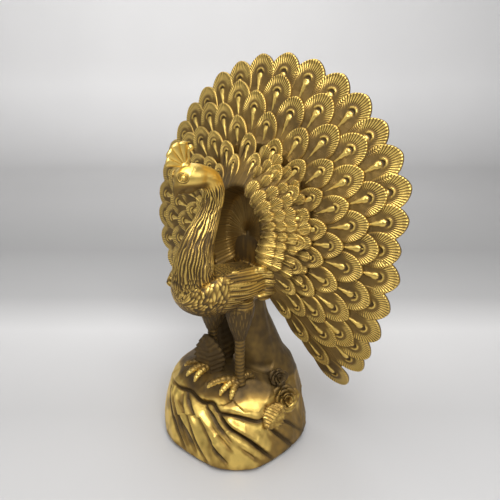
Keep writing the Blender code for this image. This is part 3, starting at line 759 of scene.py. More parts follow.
def feather_tree(f):
    """Geometry nodes: one feather at each point, then bent on to the fan's swept surface."""
    name = "feathers_on_fan"
    if name in bpy.data.node_groups:
        return bpy.data.node_groups[name]
    tree = bpy.data.node_groups.new(name, "GeometryNodeTree")
    face = tree.interface
    face.new_socket(name="Geometry", in_out="INPUT", socket_type="NodeSocketGeometry")
    face.new_socket(name="Feather", in_out="INPUT", socket_type="NodeSocketObject")
    face.new_socket(name="Material", in_out="INPUT", socket_type="NodeSocketMaterial")
    for number in fan_inputs(f):
        face.new_socket(name=number, in_out="INPUT", socket_type="NodeSocketFloat")
    face.new_socket(name="Geometry", in_out="OUTPUT", socket_type="NodeSocketGeometry")
    source = tree.nodes.new("NodeGroupInput").outputs
    sink = tree.nodes.new("NodeGroupOutput")

    def node(kind, **inputs):
        return wired(tree, tree.nodes.new(kind), inputs).outputs[0]

    info = shader_node(tree, "GeometryNodeObjectInfo", transform_space="ORIGINAL")
    tree.links.new(source["Feather"], info.inputs["Object"])
    spread = named_attribute(tree, "spread", "FLOAT_VECTOR")
    shape = info.outputs["Geometry"]
    scatter = node("GeometryNodeInstanceOnPoints", Points=source["Geometry"], Instance=shape, Scale=spread)
    real = node("GeometryNodeRealizeInstances", Geometry=scatter)
    at = shader_node(tree, "ShaderNodeSeparateXYZ")
    tree.links.new(tree.nodes.new("GeometryNodeInputPosition").outputs[0], at.inputs[0])
    r = maths(tree, "SUBTRACT", named_attribute(tree, "tip"), at.outputs[1])
    arm = maths(tree, "MAXIMUM", r, maths(tree, "MULTIPLY", source["Radius"], 0.2))
    theta = maths(tree, "ADD", named_attribute(tree, "bearing"), maths(tree, "DIVIDE", at.outputs[0], arm))
    back = swept_back(tree, source, r, theta, at.outputs[2])
    up = maths(tree, "MULTIPLY", r, maths(tree, "COSINE", theta))
    c, s = maths(tree, "COSINE", source["Lean"]), maths(tree, "SINE", source["Lean"])
    x = maths(tree, "MULTIPLY", r, maths(tree, "SINE", theta))
    behind = maths(tree, "MULTIPLY_ADD", up, s, maths(tree, "MULTIPLY", back, c))
    y = maths(tree, "ADD", source["Back"], behind)
    lowered = maths(tree, "SUBTRACT", maths(tree, "MULTIPLY", up, c), maths(tree, "MULTIPLY", back, s))
    z = maths(tree, "ADD", source["Height"], lowered)
    where = wired(tree, tree.nodes.new("ShaderNodeCombineXYZ"), {0: x, 1: y, 2: z}).outputs[0]
    moved = node("GeometryNodeSetPosition", Geometry=real, Position=where)
    whole = node("GeometryNodeRealizeInstances", Geometry=moved)
    dressed = node("GeometryNodeSetMaterial", Geometry=whole, Material=source["Material"])
    tree.links.new(dressed, sink.inputs[0])
    return tree


def set_inputs(modifier, values):
    """Sets a geometry nodes modifier's inputs by their socket identifiers."""
    for item in modifier.node_group.interface.items_tree:
        if item.item_type == "SOCKET" and item.in_out == "INPUT" and item.name in values:
            modifier[item.identifier] = values[item.name]


def feathers(kind, material):
    """All feathers of one group as one plain mesh."""
    f = bpy.context.scene.peacock_fan
    unit = new_object("unit_" + kind, feather_mesh("unit_" + kind, kind, f))
    places = np.array(feather_places(kind, f))
    spread = np.stack([places[:, 2], places[:, 3], np.ones(len(places))], -1)
    values = {"bearing": places[:, 0], "tip": places[:, 1], "spread": spread}
    points = mesh_of("points_" + kind, np.zeros((len(places), 3)), [], values)
    thing = new_object(FEATHER_PIECES[kind], points)
    grow = thing.modifiers.new("feathers", "NODES")
    grow.node_group = feather_tree(f)
    set_inputs(grow, {"Feather": unit, "Material": material, **fan_inputs(f)})
    plain_mesh(thing)
    bpy.data.objects.remove(unit)
    return finish_piece(thing, material)


def plate_rings(f, theta, lines):
    """Rings round the plate's section, each with its hollow value: slope, lip, floor, back and ribs."""
    edge = rim(np.degrees(theta), f)
    inner = lip(theta, f)
    found = []
    for share in np.linspace(0.90, 0.45, 14):
        found.append((fan_point(share * edge, theta, -PLATE_SINK, f), 0.62))
    # The slope and the hollow behind the neck are dark brown: patina, and painted shade of the recess
    for share in np.linspace(1.25, 0.0, 16):
        height = -PLATE_SINK * min(1, share) + LINE_DEPTH * lines * (1 - 0.5 * share)
        found.append((fan_point(inner + share * f.niche_flare, theta, height, f), 0.94 - 0.10 * share))
    for share, rise in LIP_RINGS:
        height = rise * f.niche_depth + LINE_DEPTH * lines * min(1, share * 1.5)
        found.append((fan_point(share * inner, theta, height, f, False), 0.84))
    for share, drop in BACK_RINGS:
        height = -f.plate - drop * f.niche_floor
        found.append((fan_point(share * edge, theta, height, f, False), 0.55))
    for share in np.linspace(0.60, 0.90, 12):
        ribs = RIB_HEIGHT * np.cos(2 * math.pi * theta / f.pitch) * float(smooth(0.55, 0.75, share))
        found.append((fan_point(share * edge, theta, -f.plate + ribs, f, False), 0.50))
    return found


def fan_plate():
    """The plate behind the feathers, its raised slope and the hollow at its middle, closed all round."""
    f = bpy.context.scene.peacock_fan
    columns = 320
    theta = np.linspace(-f.half_angle, f.half_angle, columns + 1)
    waves = [
        noise.noise(Vector((19.0 * t, 0, 2.0))) + 0.5 * noise.noise(Vector((43.0 * t, 0, 5.0)))
        for t in theta
    ]
    lines = np.clip(2.0 * np.array(waves), -1, 1)
    rings, hollow = zip(*plate_rings(f, theta, lines))
    count = len(rings)
    verts = np.stack(rings, 1).reshape(-1, 3)
    faces = []
    for i in range(columns):
        for j in range(count):
            k = (j + 1) % count
            faces.append((i * count + j, (i + 1) * count + j, (i + 1) * count + k, i * count + k))
    faces.append(tuple(range(count)))
    faces.append(tuple(reversed(range(columns * count, columns * count + count))))
    # Faint streaks run down the hollow and the slope round it
    tone = np.tile(hollow, columns + 1)
    rows = np.tile(0.22 * np.arange(count), columns + 1)
    where = np.stack([np.repeat(13.0 * theta, count), rows, np.zeros(len(tone))], -1)
    streak = np.repeat(lines, count) * (0.4 + 1.2 * np.abs(noises(where, seed=2.0)))
    streaked = tone - 0.22 - 0.16 * streak + 0.10 * noises(where, (2, 1, 1), 5.0)
    mesh = mesh_of("fan_plate", verts, faces, {"hollow": np.where(tone > 0.7, streaked, tone)})
    return finish_piece(new_object("fan_plate", face_out(mesh, merge=False)), material_named("brass_dark"))


# The bird

# All in fan radii from the fan centre, unless another unit is named
# Along the body: y, z of the middle, half width, half height
BODY = (
    (0.280, -0.370, 0.030, 0.030), (0.230, -0.352, 0.080, 0.070), (0.160, -0.335, 0.120, 0.105),
    (0.000, -0.312, 0.155, 0.130), (-0.150, -0.288, 0.168, 0.140), (-0.290, -0.262, 0.168, 0.145),
    (-0.395, -0.238, 0.150, 0.138), (-0.478, -0.208, 0.114, 0.112), (-0.514, -0.190, 0.070, 0.074),
    (-0.527, -0.184, 0.030, 0.034),
)
# Along the neck: y, z of the middle, half width, half depth
NECK = (
    (-0.330, -0.290, 0.100, 0.100), (-0.383, -0.228, 0.130, 0.133), (-0.406, -0.130, 0.122, 0.128),
    (-0.400, -0.030, 0.106, 0.112), (-0.362, 0.060, 0.088, 0.094), (-0.310, 0.140, 0.072, 0.076),
    (-0.262, 0.225, 0.062, 0.064), (-0.240, 0.310, 0.060, 0.062), (-0.264, 0.378, 0.062, 0.062),
    (-0.320, 0.410, 0.064, 0.062), (-0.380, 0.420, 0.062, 0.060), (-0.415, 0.420, 0.045, 0.045),
)
# Along a wing: x, y, z of the middle and half height
WING = (
    (0.105, -0.470, -0.175, 0.030), (0.145, -0.400, -0.180, 0.072), (0.172, -0.270, -0.192, 0.098),
    (0.184, -0.130, -0.208, 0.096), (0.190, -0.020, -0.222, 0.080), (0.188, 0.040, -0.230, 0.045),
)
# Rounded ends of the wing's long feathers: x, y, z and half sizes across, along and up
WING_ENDS = (
    (0.214, -0.070, -0.140, 0.030, 0.054, 0.028), (0.230, 0.000, -0.180, 0.036, 0.074, 0.038),
    (0.234, 0.022, -0.234, 0.036, 0.078, 0.040), (0.222, 0.010, -0.290, 0.034, 0.074, 0.034),
    (0.200, -0.030, -0.328, 0.030, 0.072, 0.028),
)
# The curl at the top of each wing's end: x, y, z and radius
CURL = (0.222, -0.055, -0.132, 0.026)
# Each foot: its ankle and the ends of its toes
FEET = (
    (
        (0.105, -0.155, -0.900),
        ((0.025, -0.345, -0.872), (0.078, -0.300, -0.925), (0.128, -0.262, -0.955), (0.140, -0.060, -0.915)),
    ),
    (
        (-0.110, -0.165, -0.880),
        (
            (-0.235, -0.285, -0.862), (-0.180, -0.325, -0.890), (-0.120, -0.320, -0.905),
            (-0.125, -0.060, -0.905),
        ),
    ),
)
THIGH_SIZES = (1.0, 1.15)
# The head turns to its right about an upright line at this y
HEAD_TURN = math.radians(-10)
HEAD_PIVOT = -0.30
# Balls of the head: y and z, three half-size vectors, rings and count
HEAD_BALLS = (
    ((-0.371, 0.418), ((0, -0.112, 0.010), (0.0690, 0, 0), (0, 0.006, 0.0705)), (44, 60)),
    ((-0.432, 0.402), ((0, -0.048, -0.024), (0.043, 0, 0), (0, 0.01, 0.045)), (20, 36)),
    ((-0.390, 0.378), ((0, -0.066, -0.012), (0.047, 0, 0), (0, 0.0, 0.044)), (20, 36)),
)
# The beak's halves: y, z, half width and half depth
BILL = (
    (-0.425, 0.422, 0.040, 0.038), (-0.455, 0.400, 0.031, 0.030), (-0.474, 0.370, 0.021, 0.020),
    (-0.482, 0.342, 0.012, 0.012), (-0.481, 0.321, 0.004, 0.005),
)
JAW = ((-0.405, 0.385, 0.034, 0.030), (-0.440, 0.362, 0.023, 0.020), (-0.462, 0.343, 0.011, 0.010))
# The left eye, its two rings as radius and thickness, and its ball's half sizes out, ahead and up
EYE = (0.0470, -0.4620, 0.4370)
EYE_RINGS = ((0.0190, 0.0021), (0.0275, 0.0020))
EYE_BALL = (0.0120, 0.0150, 0.0135)
# Each plume of the crest: angle from straight ahead and length
CREST = ((21.0, 0.115), (43.0, 0.127), (66.0, 0.132), (88.0, 0.127))
CREST_ROOT = (-0.418, 0.478)
WEB_REACH = 0.118
# Along a plume: share of its length, half thickness and half width in metres
CREST_PLUME = (
    (0.0, 0.0013, 0.0009), (0.35, 0.0013, 0.0014), (0.65, 0.0013, 0.0023), (0.85, 0.0013, 0.0031),
    (0.95, 0.0012, 0.0031), (1.00, 0.0007, 0.0021),
)
# The stalk behind them: y, z and radius in metres
CREST_STALK = (
    (-0.410, 0.485, 0.0012), (-0.396, 0.522, 0.0011), (-0.396, 0.550, 0.0012), (-0.388, 0.568, 0.0014),
)
# The stalk's knob and the crest's root: y and z, half length, width and height, rings and count
CREST_BALLS = (
    ((-0.380, 0.569), (0.0175, 0.0165, 0.0175), (10, 16)), ((-0.416, 0.478), (0.034, 0.020, 0.028), (20, 36)),
)
# Skin cells as shares of the skin grain
NECK_GRAIN = 0.66
BODY_GRAIN = 1.05
# A breast scale's length in its widths, and lengths in metres
SCALE_LENGTH = 1.43333
RIB_LENGTH = 0.030
THIGH_STRAND = 0.0075
CURL_THICKNESS = 0.009
SHANK_LENGTH = 0.375
SHANK_RINGS = 15
TOE_RINGS = 8
# Along a toe: share of the way, rise, and its radius as a share of the toe's
TOE = (
    (0.0, 0.0, 1.20), (0.25, 0.026, 1.18), (0.50, 0.034, 1.10), (0.75, 0.026, 0.98), (0.95, 0.008, 0.74),
    (1.06, -0.014, 0.26),
)


def turned(x, y, z):
    """A point of the head, turned about the top of the neck."""
    dy = y - HEAD_PIVOT
    c, s = math.cos(HEAD_TURN), math.sin(HEAD_TURN)
    return place(x * c - dy * s, HEAD_PIVOT + x * s + dy * c, z)


def head_vector(x, y, z):
    return turned(x, HEAD_PIVOT + y, z) - turned(0, HEAD_PIVOT, 0)


def body_shape(radius):
    rings = []
    for y, z, w, h in spline(BODY, 44):
        rings.append(oval(place(0, y, z), Vector((1, 0, 0)), Vector((0, 0, -1)), w * radius, h * radius, 32))
    return loft(rings)


def neck_shape(radius):
    rows = spline(NECK, 110)
    rings = []
    for i, (y, z, wide, deep) in enumerate(rows):
        a, b = rows[max(i - 1, 0)], rows[min(i + 1, len(rows) - 1)]
        ahead = Vector((0, b[0] - a[0], b[1] - a[1])).normalized()
        share = float(smooth(0.22, 0.40, z)) if i > len(rows) // 2 else 0.0
        centre = place(0, y, z).lerp(turned(0, y, z), share)
        side = Vector((1, 0, 0)).lerp(head_vector(1, 0, 0).normalized(), share).normalized()
        across = side.cross(ahead).normalized()
        rings.append(oval(centre, side, across, wide * radius, deep * radius, 56))
    return loft(rings)


def head_shapes(radius):
    """The head's oval, its front and jaw, and the hooked beak."""
    shapes = []
    for (y, z), axes, cells in HEAD_BALLS:
        shapes.append(ball(turned(0, y, z), [head_vector(*axis) for axis in axes], *cells))
    for rows, count, sides in ((BILL, 18, 14), (JAW, 8, 12)):
        rows = spline(rows, count)
        sizes = [(w * radius, d * radius) for y, z, w, d in rows]
        shapes.append(tube([turned(0, y, z) for y, z, w, d in rows], sizes, sides))
    return shapes


def thigh_shapes(radius):
    shapes = []
    for ((x, y, _), _), big in zip(FEET, THIGH_SIZES):
        rows = spline([
            (0.80 * x, y + 0.03, -0.35, 0.092 * big), (0.88 * x, y + 0.020, -0.42, 0.090 * big),
            (0.94 * x, y + 0.010, -0.49, 0.074 * big), (0.98 * x, y + 0.006, -0.555, 0.052 * big),
            (x, y + 0.005, -0.60, 0.036 * big),
        ], 20)
        shapes.append(tube([place(a, b, c) for a, b, c, d in rows], [d * radius for a, b, c, d in rows], 20))
    return shapes


def wing_shapes(side, radius, g):
    """One folded wing: its blade, the rounded ends of its long feathers and the curl above them."""
    rows = spline(WING, 24)
    path = [place(side * a, b, c) for a, b, c, h in rows]
    shapes = [tube(path, [(g.wing, h * radius) for a, b, c, h in rows], 20)]
    for a, b, c, w, d, h in WING_ENDS:
        axes = [Vector(v) * radius for v in ((0, d, -0.012), (w * side, 0, 0), (0, 0.004, h))]
        shapes.append(ball(place(side * a, b, c), axes))
    a, b, c, reach = CURL
    out = Vector((side, 0, 0.2))
    turns = np.linspace(0, 2 * math.pi, 13)[:-1]
    loops = []
    for t in np.linspace(0, 2 * math.pi, 33):
        away = Vector((0.15 * side * math.cos(t), math.cos(t), math.sin(t))).normalized()
        spot = place(side * a, b, c) + away * (reach * radius)
        thick = CURL_THICKNESS * radius
        loops.append([spot + (away * math.cos(r) + out * math.sin(r)) * thick for r in turns])
    shapes.append(loft(loops, False))
    return shapes


def scattered(a, b, seed):
    """A fixed random number from -0.5 to 0.5 for each pair of whole numbers."""
    s = np.sin(a * 12.9898 + b * 78.233 + seed * 37.719) * 43758.5453
    return s - np.floor(s) - 0.5


def locks(u, v, reach=1.7, blunt=0.7, jitter=0.3, seed=1.0):
    """Height from 0 to 1 of overlapping rounded locks.

    u runs across in widths and v along in lengths, and the tips point to larger v.
    """
    best = np.zeros_like(u)
    for step in (0, 1, 2):
        row = np.floor(v) - step
        shift = 0.5 * np.mod(row, 2)
        column = np.floor(u + shift)
        du = u + shift - column - 0.5
        dv = v - row - jitter * scattered(row, column, seed)
        t = dv / reach
        wide = 0.5 * np.clip(np.sin(math.pi * np.clip(0.16 + 0.84 * t, 0, 1)), 0, 1) ** blunt
        inside = (t > 0) & (t < 1) & (np.abs(du) < wide)
        dome = np.sqrt(np.clip(1 - (du / np.maximum(wide, 1e-4)) ** 2, 0, 1))
        best = np.maximum(best, np.where(inside, (0.40 + 0.60 * t) * dome, 0))
    return best


def local(co):
    """Points in fan radii from the fan centre."""
    f = bpy.context.scene.peacock_fan
    return co[:, 0] / f.radius, (co[:, 1] - f.back) / f.radius, (co[:, 2] - f.height) / f.radius


def neck_field(x, y, z):
    """Bearing round the neck and the distance along it from its root, in fan radii."""
    rows = spline(NECK[:9], 90)
    spine = rows[:, :2]
    run = np.concatenate([[0], np.cumsum(np.hypot(*np.diff(spine, axis=0).T))])
    d = (y[:, None] - spine[None, :, 0]) ** 2 + (z[:, None] - spine[None, :, 1]) ** 2
    near = d.argmin(1)
    ahead = np.gradient(spine, axis=0)
    ahead /= np.linalg.norm(ahead, axis=1)[:, None]
    off_y, off_z = y - spine[near, 0], z - spine[near, 1]
    front = off_y * -ahead[near, 1] + off_z * ahead[near, 0]
    lengthwise = np.clip(off_y * ahead[near, 0] + off_z * ahead[near, 1], -0.02, 0.02)
    return np.arctan2(x, front), run[near] + lengthwise


def neck_strands(bearing, along, z, radius, g):
    """Height from 0 to 1 of the neck's wavy strands, and of the fine down left on the head."""
    flow = np.stack([bearing * 1.6, along * radius / 0.011, 0 * bearing], -1)
    sway = 0.60 * noises(flow, seed=3.1) + 0.42 * noises(flow, (2.8, 2.6, 1), 8.0)
    v = -along * radius / g.strand_length + 0.30 * noises(flow, seed=5.7)
    lower = smooth(0.14, -0.02, z)
    height = 0
    for count, share in ((g.strands, 1 - lower), (1.5 * g.strands, lower)):
        u = bearing * count / (2 * math.pi) + sway
        ridge = np.abs(np.sin(math.pi * u)) ** 0.8
        height = height + share * ridge * (0.50 + 0.50 * locks(u, v, 1.9, 0.45, 0.9, 2.0))
    # Near the breast the strands break up into small scales
    foot = smooth(-0.05, -0.15, z + 0.10 * noises(flow, (2, 2, 1), 1.0))
    height = height * (1 - foot) + foot * locks(1.15 * u, 4.6 * v, 1.5, 0.45, 0.6, 3.0)
    return height, locks(2.0 * u, 1.6 * v, 1.9, 0.5, 0.5, 4.0)


def neck_and_head():
    """One skin with long wavy hair-like feathers that fade out on the head."""
    g = bpy.context.scene.peacock_bird
    radius = bpy.context.scene.peacock_fan.radius
    thing = skinned("neck_and_head", [neck_shape(radius)] + head_shapes(radius), NECK_GRAIN * g.skin, 28)
    mesh = thing.data
    co = coordinates(mesh)
    x, y, z = local(co)
    bearing, along = neck_field(x, y, z)
    height, down = neck_strands(bearing, along, z, radius, g)
    head = smooth(0.32, 0.42, z + 0.25 * (-0.24 - y))
    depth = (1 - height) * (1 - head) + 0.10 * head * (1 - down)
    set_coordinates(mesh, co - normals(mesh) * (g.strand_depth * depth)[:, None])
    # Brown patina in the grooves, painted shade under the head, darker on the beak, and brown round the eyes
    # Painted shade under the head
    under = smooth(0.420, 0.372, z) * smooth(-0.29, -0.35, y)
    beak = smooth(-0.450, -0.490, y) * smooth(0.49, 0.44, z)
    hollow = 0.26 * (1 - head) + 0.74 * smooth(0.20, 0.60, depth) * (1 - 0.8 * head)
    hollow += 0.74 * np.maximum(under, 0.7 * beak) * head
    for side in (-1, 1):
        socket = np.array(turned(side * EYE[0], *EYE[1:]))
        hollow += 0.70 * smooth(0.038, 0.030, np.linalg.norm(co - socket, axis=1) / radius)
    set_attribute(mesh, "hollow", np.clip(0.02 + hollow, 0, 1))
    return finish_piece(thing, material_named("brass_bird"))


def breast_scales(x, y, z, radius, g):
    """Small overlapping scales that spread from the top of the breast."""
    u = np.arctan2(x / 0.165, z + 0.26) * 0.165 * radius / g.scale
    v = np.sqrt(x ** 2 + (y + 0.56) ** 2 + (z + 0.165) ** 2) * radius / (SCALE_LENGTH * g.scale)
    wobble = np.stack([u * 0.5, v * 0.5, 0 * u], -1)
    u, v = u + 0.75 * noises(wobble, seed=1.1), v + 0.60 * noises(wobble, seed=2.3)
    return locks(u, v, 1.7, 0.60, 0.9, 3.0)


def wing_ribs(y, z, radius, g):
    """Long ribs along the wing, which sag in the middle and turn down at the end."""
    sag = 0.018 * np.sin(math.pi * np.clip((y + 0.34) / 0.27, 0, 1)) * smooth(-0.14, -0.28, z)
    turn_down = 0.10 * smooth(-0.06, 0.10, y) * (z + 0.24)
    w = (z + 0.16 * (y + 0.33) + sag - turn_down) * radius / g.rib
    t = y * radius / RIB_LENGTH
    w = w + 0.35 * noises(np.stack([w * 0.5, t * 1.2, 0 * w], -1), seed=4.4)
    t = t + 0.4 * noises(np.stack([w, t, 0 * w], -1), seed=6.1)
    return locks(w, t, 1.9, 0.30, 0.8, 5.0)


def thigh_strands(x, y, z, radius):
    """Short strands down the thighs."""
    q = np.arctan2(x - np.sign(x) * 0.10, -(y + 0.15)) * 20 / (2 * math.pi)
    s = -z * radius / THIGH_STRAND
    return locks(q + 0.3 * noises(np.stack([q, s, 0 * q], -1), seed=2.2), s, 1.9, 0.45, 0.7, 7.0)


def body():
    """The breast with its small scales, the ribbed wings and the thighs, one skin."""
    g = bpy.context.scene.peacock_bird
    radius = bpy.context.scene.peacock_fan.radius
    rump_axes = [Vector(v) * radius for v in ((0, 0.085, 0), (0.185, 0, 0), (0, 0, 0.230))]
    shapes = [body_shape(radius)] + thigh_shapes(radius) + [ball(place(0, 0.120, -0.150), rump_axes)]
    for side in (-1, 1):
        shapes += wing_shapes(side, radius, g)
    thing = skinned("body", shapes, BODY_GRAIN * g.skin, 3)
    mesh = thing.data
    co = coordinates(mesh)
    x, y, z = local(co)
    on_wing = smooth(0.120, 0.150, np.abs(x)) * smooth(-0.36, -0.31, y) * smooth(-0.40, -0.37, z)
    on_thigh = smooth(-0.375, -0.42, z)
    height = breast_scales(x, y, z, radius, g) * (1 - on_wing) + wing_ribs(y, z, radius, g) * on_wing
    height = height * (1 - on_thigh) + thigh_strands(x, y, z, radius) * on_thigh
    # The back between the wings and the body's end are plain and streaked, and painted dark: patina and
    # painted shade of the recess behind the neck
    rump = smooth(-0.16, -0.06, y) * smooth(0.172, 0.150, np.abs(x)) * smooth(-0.22, -0.14, z)
    rump = np.maximum(rump, smooth(0.04, 0.11, y))
    depth = (1 - height) * (1 - 0.85 * rump)
    strength = g.strand_depth * (0.37 + 0.83 * on_wing)
    set_coordinates(mesh, co - normals(mesh) * (strength * depth)[:, None])
    # Painted shade on the body's underside, weaker on the wings
    under = smooth(-0.19, -0.36, z) * (1 - 0.5 * on_wing)
    streak = noises(co, (420, 160, 60), 3.0)
    hollow = 0.16 + 1.7 * np.clip(depth - 0.18, 0, 1) + 0.36 * under
    # Dark back and body's end: patina and painted shade of the recess behind the neck
    hollow += (0.78 + 0.40 * streak) * rump + 0.22 * on_thigh
    set_attribute(mesh, "hollow", np.clip(hollow, 0, 1))
    return finish_piece(thing, material_named("brass_bird"))


def eye_shapes(side, radius):
    """One eye with the two rings round it."""
    out = head_vector(side, -0.85, 0.25).normalized()
    middle = turned(side * EYE[0], *EYE[1:])
    front = head_vector(0, -1, 0)
    ahead = (front - out * front.dot(out)).normalized()
    up = out.cross(ahead).normalized()
    shapes = []
    for size, thick in EYE_RINGS:
        loops = []
        for a in np.linspace(0, 2 * math.pi, 25)[:-1]:
            away = ahead * math.cos(a) + up * (0.86 * math.sin(a))
            spot = middle - out * 0.0004 + away * (size * radius)
            loops.append(oval(spot, away, out, thick * radius, thick * radius, 8))
        shapes.append(loft(loops + [loops[0]], False))
    axes = [way * (size * radius) for way, size in zip((out, ahead, up), EYE_BALL)]
    shapes.append(ball(middle - out * 0.0006, axes, 8, 14))
    return shapes


def crest_point(a, reach, aside=0.0):
    """A point at an angle and a distance from the crest's root, in fan radii."""
    return turned(aside, CREST_ROOT[0] - math.cos(a) * reach, CREST_ROOT[1] + math.sin(a) * reach)


def crest_shapes():
    """The crest's flaring plumes, and the stalk with its knob behind them."""
    side = head_vector(1, 0, 0).normalized()
    shapes = []
    rows = spline(CREST_PLUME, 20)
    for angle, length in CREST:
        points = [crest_point(math.radians(angle), t * length) for t, thick, wide in rows]
        shapes.append(tube(points, [(thick, wide) for t, thick, wide in rows], 14, side))
    stalk = spline(CREST_STALK, 14)
    shapes.append(tube([turned(0, y, z) for y, z, r in stalk], [r for y, z, r in stalk], 12, side))
    for (y, z), (long, wide, high), cells in CREST_BALLS:
        axes = (head_vector(0, -long, 0), head_vector(wide, 0, 0), head_vector(0, 0, high))
        shapes.append(ball(turned(0, y, z), axes, *cells))
    return shapes


def crest_web(radius):
    """The web between the plumes, thinner towards its edge."""
    arc = [math.radians(v) for v in np.linspace(14, 100, 16)]
    rings = []
    for share, thick in ((0.05, 0.0010), (0.45, 0.0008), (0.80, 0.0005)):
        left, right = (
            [crest_point(a, share * WEB_REACH, way * thick / radius) for a in arc]
            for way in (1, -1)
        )
        rings.append(left + right[::-1])
    return loft(rings)


def face_parts():
    """Eyes with their rings, and the crest of flaring plumes on its dark web."""
    radius = bpy.context.scene.peacock_fan.radius
    shapes = eye_shapes(-1, radius) + eye_shapes(1, radius) + crest_shapes()
    bright = sum(len(verts) for verts, faces in shapes)
    verts, faces = gathered(shapes + [crest_web(radius)])
    hollow = np.where(np.arange(len(verts)) < bright, 0.05, 0.95)
    mesh = face_out(mesh_of("crest_and_eyes", verts, faces, {"hollow": hollow}), merge=False)
    return finish_piece(new_object("crest_and_eyes", mesh), material_named("brass_bird"))


def shank(x, y, g):
    """A ringed lower leg from the thigh down to the ankle."""
    points, sizes = [], []
    for t in np.linspace(0, 1, 100):
        points.append(place(x, y + 0.005 * (1 - t), -0.55 - SHANK_LENGTH * t))
        ring = 1 + 0.10 * abs(math.sin(math.pi * SHANK_RINGS * t))
        foot = 1 + 0.22 * float(smooth(0.85, 1.0, t))
        sizes.append(g.shank * (1.02 - 0.12 * math.sin(math.pi * t)) * ring * foot)
    return tube(points, sizes, 18)


def toe(start, end, g):
    """A ringed toe that arches from the ankle to its end."""
    way = end - start
    rows = spline([(*(start + way * share + Vector((0, 0, rise))), size) for share, rise, size in TOE], 50)
    sizes = []
    for t, row in zip(np.linspace(0, 1, 50), rows):
        sizes.append(g.toe * row[3] * (0.90 + 0.24 * abs(math.sin(math.pi * TOE_RINGS * t))))
    return tube([place(*row[:3]) for row in rows], sizes, 12)


def legs():
    """Ringed shanks and short ringed toes."""
    g = bpy.context.scene.peacock_bird
    shapes = []
    for (x, y, z), toes in FEET:
        shapes.append(shank(x, y, g))
        shapes += [toe(Vector((x, y, z - 0.012)), Vector(end), g) for end in toes]
    verts, faces = gathered(shapes)
    mesh = face_out(mesh_of("legs", verts, faces))
    co = coordinates(mesh)
    on_toes = smooth(0.070, 0.064, co[:, 2]) * smooth(-0.016, -0.028, co[:, 1])
    down = co[:, 2] / bpy.context.scene.peacock_fan.radius
    rings = 0.12 * np.cos(2 * math.pi * SHANK_RINGS * down / SHANK_LENGTH)
    hollow = 0.78 + rings - (0.60 + rings) * on_toes + 0.10 * noises(co, (300, 300, 300))
    set_attribute(mesh, "hollow", np.clip(hollow, 0, 1))
    return finish_piece(new_object("legs", mesh), material_named("brass_rock"))


# The rock

# Up the rock: share of its height, share of its size, and shift aside and back in metres
LEVELS = (
    (0.00, 0.965, 0.000, 0.000), (0.06, 1.000, 0.000, 0.000), (0.28, 0.985, -0.001, 0.001),
    (0.52, 0.940, -0.002, 0.002), (0.74, 0.880, -0.004, 0.003), (0.89, 0.740, -0.006, 0.005),
    (1.00, 0.480, -0.008, 0.004),
)
# Up the pillar, in fan radii: x, y, z of the middle, half width and half depth
PILLAR = (
    (0.060, 0.200, -1.150, 0.260, 0.200), (0.060, 0.170, -1.000, 0.190, 0.185),
    (0.045, 0.135, -0.860, 0.145, 0.170), (0.020, 0.090, -0.700, 0.118, 0.160),
    (0.005, 0.060, -0.550, 0.100, 0.132), (0.000, 0.050, -0.400, 0.080, 0.112),
    (0.000, 0.050, -0.320, 0.065, 0.090),
)
# Grooves on the rock: angle seen from above, share of its height, and strength
GROOVES = (
    (
        (-135, 0.72, 0.3), (-115, 0.77, 0.8), (-99, 0.81, 1.0), (-83, 0.78, 1.3), (-70, 0.80, 1.0),
        (-62, 0.74, 1.2), (-53, 0.73, 1.2), (-42, 0.69, 1.2), (-31, 0.62, 0.9), (-24, 0.60, 0.7),
        (-15, 0.40, 0.9), (0, 0.12, 0.5),
    ),
    (
        (-62, 0.70, 0.8), (-54, 0.57, 1.2), (-46, 0.50, 1.1), (-38, 0.41, 1.1), (-30, 0.27, 0.9),
        (-21, 0.10, 0.4),
    ),
    (
        (-103, 0.78, 0.6), (-90, 0.64, 1.1), (-80, 0.55, 1.2), (-74, 0.45, 1.1), (-68, 0.33, 1.0),
        (-58, 0.16, 0.5),
    ),
    ((-106, 0.70, 0.4), (-97, 0.52, 1.0), (-90, 0.36, 1.0), (-83, 0.22, 0.9), (-74, 0.10, 0.3)),
    ((-113, 0.56, 0.4), (-104, 0.42, 0.9), (-94, 0.28, 0.9), (-86, 0.14, 0.3)),
    ((-78, 0.78, 0.7), (-69, 0.67, 1.0), (-62, 0.55, 0.9), (-55, 0.44, 0.4)),
    ((-127, 0.64, 0.4), (-116, 0.44, 0.8), (-106, 0.26, 0.8), (-98, 0.12, 0.3)),
    ((-95, 0.72, 0.2), (-86, 0.59, 0.6), (-78, 0.47, 0.6), (-71, 0.36, 0.5), (-62, 0.22, 0.2)),
    ((-111, 0.66, 0.2), (-101, 0.56, 0.5), (-93, 0.43, 0.6), (-87, 0.30, 0.4), (-78, 0.14, 0.2)),
    ((-122, 0.72, 0.2), (-112, 0.52, 0.6), (-104, 0.35, 0.6), (-95, 0.18, 0.2)),
    ((-58, 0.64, 0.2), (-50, 0.54, 0.5), (-42, 0.45, 0.6), (-34, 0.33, 0.5), (-26, 0.18, 0.2)),
    ((-47, 0.34, 0.2), (-39, 0.24, 0.5), (-31, 0.12, 0.2)),
    ((-67, 0.52, 0.2), (-60, 0.41, 0.5), (-53, 0.30, 0.2)),
    ((-18, 0.72, 0.2), (-8, 0.52, 0.5), (4, 0.36, 0.5), (16, 0.16, 0.2)),
    ((-172, 0.76, 0.4), (-155, 0.58, 1.0), (-140, 0.36, 1.0), (-128, 0.12, 0.4)),
    ((168, 0.66, 0.4), (150, 0.50, 1.0), (132, 0.30, 0.9), (120, 0.10, 0.3)),
    ((118, 0.72, 0.4), (98, 0.52, 1.0), (76, 0.36, 1.0), (60, 0.12, 0.3)),
    ((52, 0.62, 0.3), (36, 0.40, 0.8), (22, 0.14, 0.3)),
)
